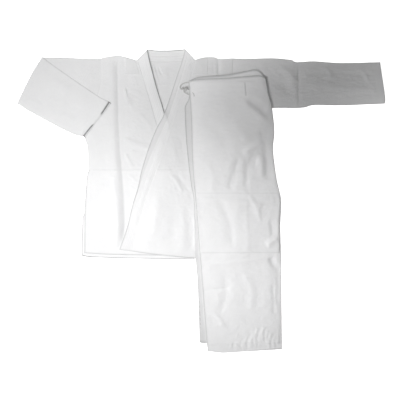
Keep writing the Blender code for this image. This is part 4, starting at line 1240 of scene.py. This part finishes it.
def build_trousers():
    """Both legs, the right one on the left one, then the knee patch and the keeper on top."""
    spacing = bpy.context.scene.gi_trousers.mesh_step / MM
    jacket = tuple(name for name in reliefs if name != "upper_arm")
    build_leg("leg_left", (UNDER_WAIST, UNDER_WAIST), UNDER_OUTSEAM, UNDER_INSEAM, UNDER_LEG_HEM,
              UNDER_LEG_STEP, [], (0, 0.5, 0.5, 0.5), jacket, 91, "under_leg_drill")
    top = build_leg("leg_right", (WAIST_BACK, WAIST_FRONT), RIGHT_OUTSEAM, RIGHT_INSEAM, RIGHT_LEG_HEM,
                    spacing, LEG_FOLDS, (0.1, 0.4, 0.5, 0.15), (*jacket, "leg_left"), 97, "leg_drill")
    sew("stitching_legs", seam_rows(top, *LEG_ROWS))
    build_knee_patch(top)
    build_keeper()


# ----------------------------------------------------------------------------------- drawstring
def cord_curve(name, route, diameter):
    """A stretch of the drawstring, as one open curve along a smooth route."""
    points = along(moved(route), steps(28)) * MM + np.array([*JACKET_AT, 0]) * MM
    curve = bpy.data.curves.new(name, "CURVE")
    curve.dimensions = "3D"
    curve.bevel_depth = diameter / 2
    curve.bevel_resolution = 4
    curve.use_fill_caps = True
    spline = curve.splines.new("POLY")
    spline.points.add(len(points) - 1)
    spline.points.foreach_set("co", np.column_stack([points, np.ones(len(points))]).ravel())
    obj = bpy.data.objects.new(f"{name}_cord", curve)
    bpy.context.scene.collection.objects.link(obj)
    finish_piece(obj, cord_material(), (name,))
    return obj, points


def build_knot(diameter):
    """The knot: a ring carried along a trefoil that is pressed flat.

    The trefoil is a circle plus twice a circle at double speed, turning the other way, while its
    height rises and falls three times.
    """
    turn = 2 * np.pi * steps(96)[:-1]
    spine = np.stack([np.sin(turn) + 2 * np.sin(2 * turn), np.cos(turn) - 2 * np.cos(2 * turn),
                      -1.15 * np.sin(3 * turn)], axis=-1) * KNOT_SIZE
    ahead = np.roll(spine, -1, axis=0) - np.roll(spine, 1, axis=0)
    ahead /= np.linalg.norm(ahead, axis=1, keepdims=True)
    beside = np.cross(ahead, (0, 0, 1))
    beside /= np.linalg.norm(beside, axis=1, keepdims=True)
    up = np.cross(beside, ahead)
    around = 2 * np.pi * steps(12)[:-1]
    ring = np.cos(around)[:, None] * beside[:, None] + np.sin(around)[:, None] * up[:, None]
    points = spine[:, None] + 0.47 * diameter / MM * ring + np.array(moved([KNOT_AT])[0])
    count = len(spine) * len(around)
    faces = grid_faces(len(spine) + 1, len(around), wrap=True) % count
    knot = mesh_object("drawstring_knot_cord", points.reshape(-1, 3), [faces])
    return finish_piece(knot, cord_material(), ("drawstring_knot",))


def build_drawstring():
    """The run out of the waist, the knot at its end, and the two free ends."""
    diameter = bpy.context.scene.gi_drawstring.diameter
    made = [cord_curve(f"drawstring_{name}", route, diameter) for name, route in (
        ("run", CORD_TO_KNOT), ("lower_end", CORD_LOWER_END), ("upper_end", CORD_UPPER_END))]
    knot = build_knot(diameter)


# ---------------------------------------------------------------------------------------- stage
# Each light's name, its place and where it aims, in metres.
LIGHTS = (
    ("shoulder", (-0.931, 0.0, 1.816), (0.317, 1.799, 0.0)),
    ("body", (-0.569, -0.023, 3.320), (-0.603, 0.110, 0.0)),
    ("leg", (-1.847, -0.011, 2.132), (0.444, -0.437, 0.0)),
    ("sleeve", (-1.005, -1.008, 2.564), (1.555, 0.201, 0.0)),
)
CAMERA_OVER = (-0.0077, 0.0025)


def build_stage():
    """A white table, four soft lights from the left, and the camera straight above."""
    stage = bpy.context.scene.gi_stage
    half = stage.table_size / 2
    corners = [(x * half, y * half, -0.3 * MM) for x, y in ((-1, -1), (1, -1), (1, 1), (-1, 1))]
    mesh = bpy.data.meshes.new("jacket_table")
    mesh.from_pydata(corners, [], [(0, 1, 2, 3)])
    table = bpy.data.objects.new("jacket_table", mesh)
    bpy.context.scene.collection.objects.link(table)
    white, _, shader = shader_nodes("table_white")
    set_inputs(shader, Base_Color=(1, 1, 1, 1), Roughness=0.9, Emission_Color=(1, 1, 1, 1),
               Emission_Strength=stage.table_glow)
    white.cycles.emission_sampling = "NONE"
    mesh.materials.append(white)

    world = bpy.data.worlds.new("studio")
    world.use_nodes = True
    set_inputs(world.node_tree.nodes["Background"], Color=(1, 1, 1, 1), Strength=stage.fill)
    bpy.context.scene.world = world

    for name, place, aim in LIGHTS:
        light = bpy.data.lights.new(f"{name}_light", "SPOT")
        light.energy = getattr(stage, f"{name}_power")
        light.shadow_soft_size = stage.softness
        light.spot_blend = 1.0
        light.spot_size = getattr(stage, f"{name}_spread")
        lamp = bpy.data.objects.new(f"{name}_light", light)
        towards = np.subtract(aim, place)
        lamp.location = place
        tilt = np.arccos(-towards[2] / np.linalg.norm(towards))
        lamp.rotation_euler = (tilt, 0, np.arctan2(towards[1], towards[0]) - np.pi / 2)
        bpy.context.scene.collection.objects.link(lamp)

    lens = bpy.data.cameras.new("camera")
    lens.lens = 36 * stage.camera_height / stage.view_width
    lens.sensor_width = 36
    lens.clip_end = 50
    camera = bpy.data.objects.new("camera", lens)
    camera.location = (*CAMERA_OVER, stage.camera_height)
    bpy.context.scene.collection.objects.link(camera)
    bpy.context.scene.camera = camera
    bpy.context.scene.view_settings.view_transform = "Standard"


# --------------------------------------------------------------------------------------- add-on
def setting(name, description, default, **kind):
    """A number of at least 0 that a user may change."""
    return bpy.props.FloatProperty(name=name, description=description, default=default, min=0.0, **kind)


def metres(name, description, default):
    """A length."""
    return setting(name, description, default, unit="LENGTH", precision=5)


def watts(name, description, default):
    """A light's power."""
    return setting(name, description, default, unit="POWER")


def angle(name, description, default):
    """A cone's angle."""
    return setting(name, description, default, max=3.1, subtype="ANGLE")


class GiJacketSizes(bpy.types.PropertyGroup):
    """Sizes of the jacket's cloth."""
    body_wall: metres("Body cloth", "Thickness of the body's pearl weave", 0.0018)
    skirt_wall: metres("Skirt cloth", "Thickness of the skirt's cloth", 0.0015)
    sleeve_wall: metres("Sleeve cloth", "Thickness of the sleeves' cloth", 0.0013)
    yoke_wall: metres("Yoke cloth", "Thickness of the facing inside the neck", 0.0010)
    patch_wall: metres("Shoulder patch", "Thickness of the shoulder patches", 0.0010)
    collar_thick: metres("Collar", "Thickness of the collar band at its crown", 0.0055)
    slit: metres("Slit", "Room between the two layers of a flat sleeve", 0.0004)
    fold_radius: metres("Elbow fold", "Inner radius of the folded sleeve's fold", 0.00035)
    cuff_gape: metres("Cuff gape", "How far the folded sleeve's cuff stands open", 0.0042)
    mesh_step: metres("Mesh step", "Spacing of the jacket's mesh", 0.0036)
    collar_rows: bpy.props.IntProperty(name="Collar rows", description="Rows of stitching on the collar band",
                                       default=6, min=2, max=12)


class GiTrouserSizes(bpy.types.PropertyGroup):
    """Sizes of the trousers' cloth."""
    wall: metres("Drill", "Thickness of the trousers' cloth", 0.0012)
    patch_wall: metres("Knee patch", "Thickness of the knee patch", 0.0012)
    keeper_wall: metres("Keeper", "Thickness of the tape that keeps the drawstring", 0.0011)
    slit: metres("Slit", "Room between the two layers of a flat leg", 0.0006)
    waist_gape: metres("Waist gape", "How far the waist stands open", 0.0034)
    mesh_step: metres("Mesh step", "Spacing of the trousers' mesh", 0.0042)


class GiDrawstringSizes(bpy.types.PropertyGroup):
    """Sizes of the drawstring."""
    diameter: metres("Diameter", "Diameter of the cord", 0.004)


class GiClothLook(bpy.types.PropertyGroup):
    """Look of the cotton and how it lies."""
    cotton: bpy.props.FloatVectorProperty(name="Cotton", description="Colour of the bleached cotton", size=4,
                                          subtype="COLOR", default=(0.88, 0.88, 0.88, 1.0), min=0.0, max=1.0)
    pearl: metres("Pearl weave", "Height of one grain of the pearl weave", 0.0022)
    diamond: metres("Diamond weave", "Size of one diamond of the skirt's weave", 0.0020)
    drill: metres("Drill", "Distance between the drill's ribs", 0.0011)
    # How white a fully darkened edge is: rubbed wear, and painted shade along steps and gaps.
    rubbed_and_shaded: setting("Rubbed edges", "How white a fully rubbed edge is beside the cloth", 0.30, max=1.0,
                    subtype="FACTOR")
    nap: setting("Nap", "Strength of the soft nap", 0.2, max=1.0, subtype="FACTOR")
    loft: metres("Loft", "How far loose cloth stands off what it lies on", 0.0032)
    seam_fade: metres("Seam fade", "How far from a seam cloth reaches its full loft", 0.045)
    fold_depth: setting("Fold depth", "How many times as deep as their tables say the folds are", 2.2,
                        soft_max=3.0)
    swell: metres("Swell", "Height of the cloth's soft unevenness", 0.0005)
    creases: metres("Creases", "Height of the cloth's small creases", 0.0008)
    stitch: metres("Stitch", "Length of one stitch with its gap", 0.0036)
    thread: metres("Thread", "Diameter of the sewing thread", 0.0007)


class GiStageSettings(bpy.types.PropertyGroup):
    """The table, the lights and the camera."""
    table_size: metres("Table size", "Length of the white table's sides", 40.0)
    table_glow: setting("Table glow", "Light that the table gives off", 1.0)
    fill: setting("Fill", "Light from all round", 0.090)
    shoulder_power: watts("Shoulder light", "Power of the light on the shoulders", 1040.0)
    body_power: watts("Body light", "Power of the light on the body", 438.0)
    leg_power: watts("Leg light", "Power of the light on the legs", 364.0)
    sleeve_power: watts("Sleeve light", "Power of the light on the straight sleeve", 640.0)
    shoulder_spread: angle("Shoulder light's cone", "Angle of the light on the shoulders", 0.854)
    body_spread: angle("Body light's cone", "Angle of the light on the body", 0.546)
    leg_spread: angle("Leg light's cone", "Angle of the light on the legs", 0.562)
    sleeve_spread: angle("Sleeve light's cone", "Angle of the light on the straight sleeve", 0.520)
    softness: metres("Softness", "Radius of the lights", 0.40)
    camera_height: metres("Camera height", "Height of the camera over the table", 6.0)
    view_width: metres("View width", "Width of what the camera sees on the table", 1.44)


class GI_OT_back(bpy.types.Operator):
    """Lay the jacket's back body and back skirt."""
    bl_idname = "gi.back"
    bl_label = "Back"

    def execute(self, context):
        build_back()
        return {"FINISHED"}


class GI_OT_neck(bpy.types.Operator):
    """Lay the collar band behind the neck and the facing below it."""
    bl_idname = "gi.neck"
    bl_label = "Neck"

    def execute(self, context):
        build_neck()
        return {"FINISHED"}


class GI_OT_fronts(bpy.types.Operator):
    """Lay both fronts with their lapels, the left one over the right one."""
    bl_idname = "gi.fronts"
    bl_label = "Fronts and lapels"

    def execute(self, context):
        back = ("back_body", "back_skirt", "collar_neck", "inner_yoke")
        build_front("right", back)
        build_front("left", (*back, "front_right_body", "front_right_skirt", "collar_right"))
        return {"FINISHED"}


class GI_OT_shoulder_patches(bpy.types.Operator):
    """Sew the shoulder patches on the fronts."""
    bl_idname = "gi.shoulder_patches"
    bl_label = "Shoulder patches"

    def execute(self, context):
        build_shoulder_patch("right", SHOULDER_PATCH_RIGHT, ("front_right_body",))
        build_shoulder_patch("left", SHOULDER_PATCH_LEFT, ("front_left_body",))
        return {"FINISHED"}


class GI_OT_sleeves(bpy.types.Operator):
    """Lay the left sleeve out and fold the right one in."""
    bl_idname = "gi.sleeves"
    bl_label = "Sleeves"

    def execute(self, context):
        build_sleeve_left()
        build_sleeve_right(("back_body", "front_right_body"))
        return {"FINISHED"}


class GI_OT_trousers(bpy.types.Operator):
    """Lay the folded trousers on the jacket, with their knee patch and the drawstring's keeper."""
    bl_idname = "gi.trousers"
    bl_label = "Trousers"

    def execute(self, context):
        build_trousers()
        return {"FINISHED"}


class GI_OT_drawstring(bpy.types.Operator):
    """Lay the drawstring, its knot and its two free ends."""
    bl_idname = "gi.drawstring"
    bl_label = "Drawstring"

    def execute(self, context):
        build_drawstring()
        return {"FINISHED"}


class GI_OT_stage(bpy.types.Operator):
    """Set up the white table, the lights and the camera."""
    bl_idname = "gi.stage"
    bl_label = "Stage"

    def execute(self, context):
        build_stage()
        return {"FINISHED"}


class GI_PT_panel(bpy.types.Panel):
    """Sizes of the gi, and a button for each of its pieces."""
    bl_idname = "GI_PT_panel"
    bl_label = "Jiu-jitsu gi"
    bl_space_type = "VIEW_3D"
    bl_region_type = "UI"
    bl_category = "Gi"

    def draw(self, context):
        for group in GROUPS:
            box = self.layout.box()
            for name in GROUPS[group].__annotations__:
                box.prop(getattr(context.scene, group), name)
        for operator in OPERATORS:
            self.layout.operator(operator.bl_idname)


GROUPS = {
    "gi_jacket": GiJacketSizes,
    "gi_trousers": GiTrouserSizes,
    "gi_drawstring": GiDrawstringSizes,
    "gi_cloth": GiClothLook,
    "gi_stage": GiStageSettings,
}
OPERATORS = (GI_OT_stage, GI_OT_back, GI_OT_neck, GI_OT_fronts, GI_OT_shoulder_patches, GI_OT_sleeves,
             GI_OT_trousers, GI_OT_drawstring)


def register():
    """Add the settings, the operators and the panel."""
    for made in (*GROUPS.values(), *OPERATORS, GI_PT_panel):
        bpy.utils.register_class(made)
    for name, group in GROUPS.items():
        setattr(bpy.types.Scene, name, bpy.props.PointerProperty(type=group))


def unregister():
    """Take them away again."""
    for name in GROUPS:
        delattr(bpy.types.Scene, name)
    for made in reversed((*GROUPS.values(), *OPERATORS, GI_PT_panel)):
        bpy.utils.unregister_class(made)


def main():
    """Build the gi on its table."""
    register()
    bpy.ops.gi.stage()
    bpy.ops.gi.back()
    bpy.ops.gi.neck()
    bpy.ops.gi.fronts()
    bpy.ops.gi.shoulder_patches()
    bpy.ops.gi.sleeves()
    bpy.ops.gi.trousers()
    bpy.ops.gi.drawstring()


if __name__ == "__main__":
    main()
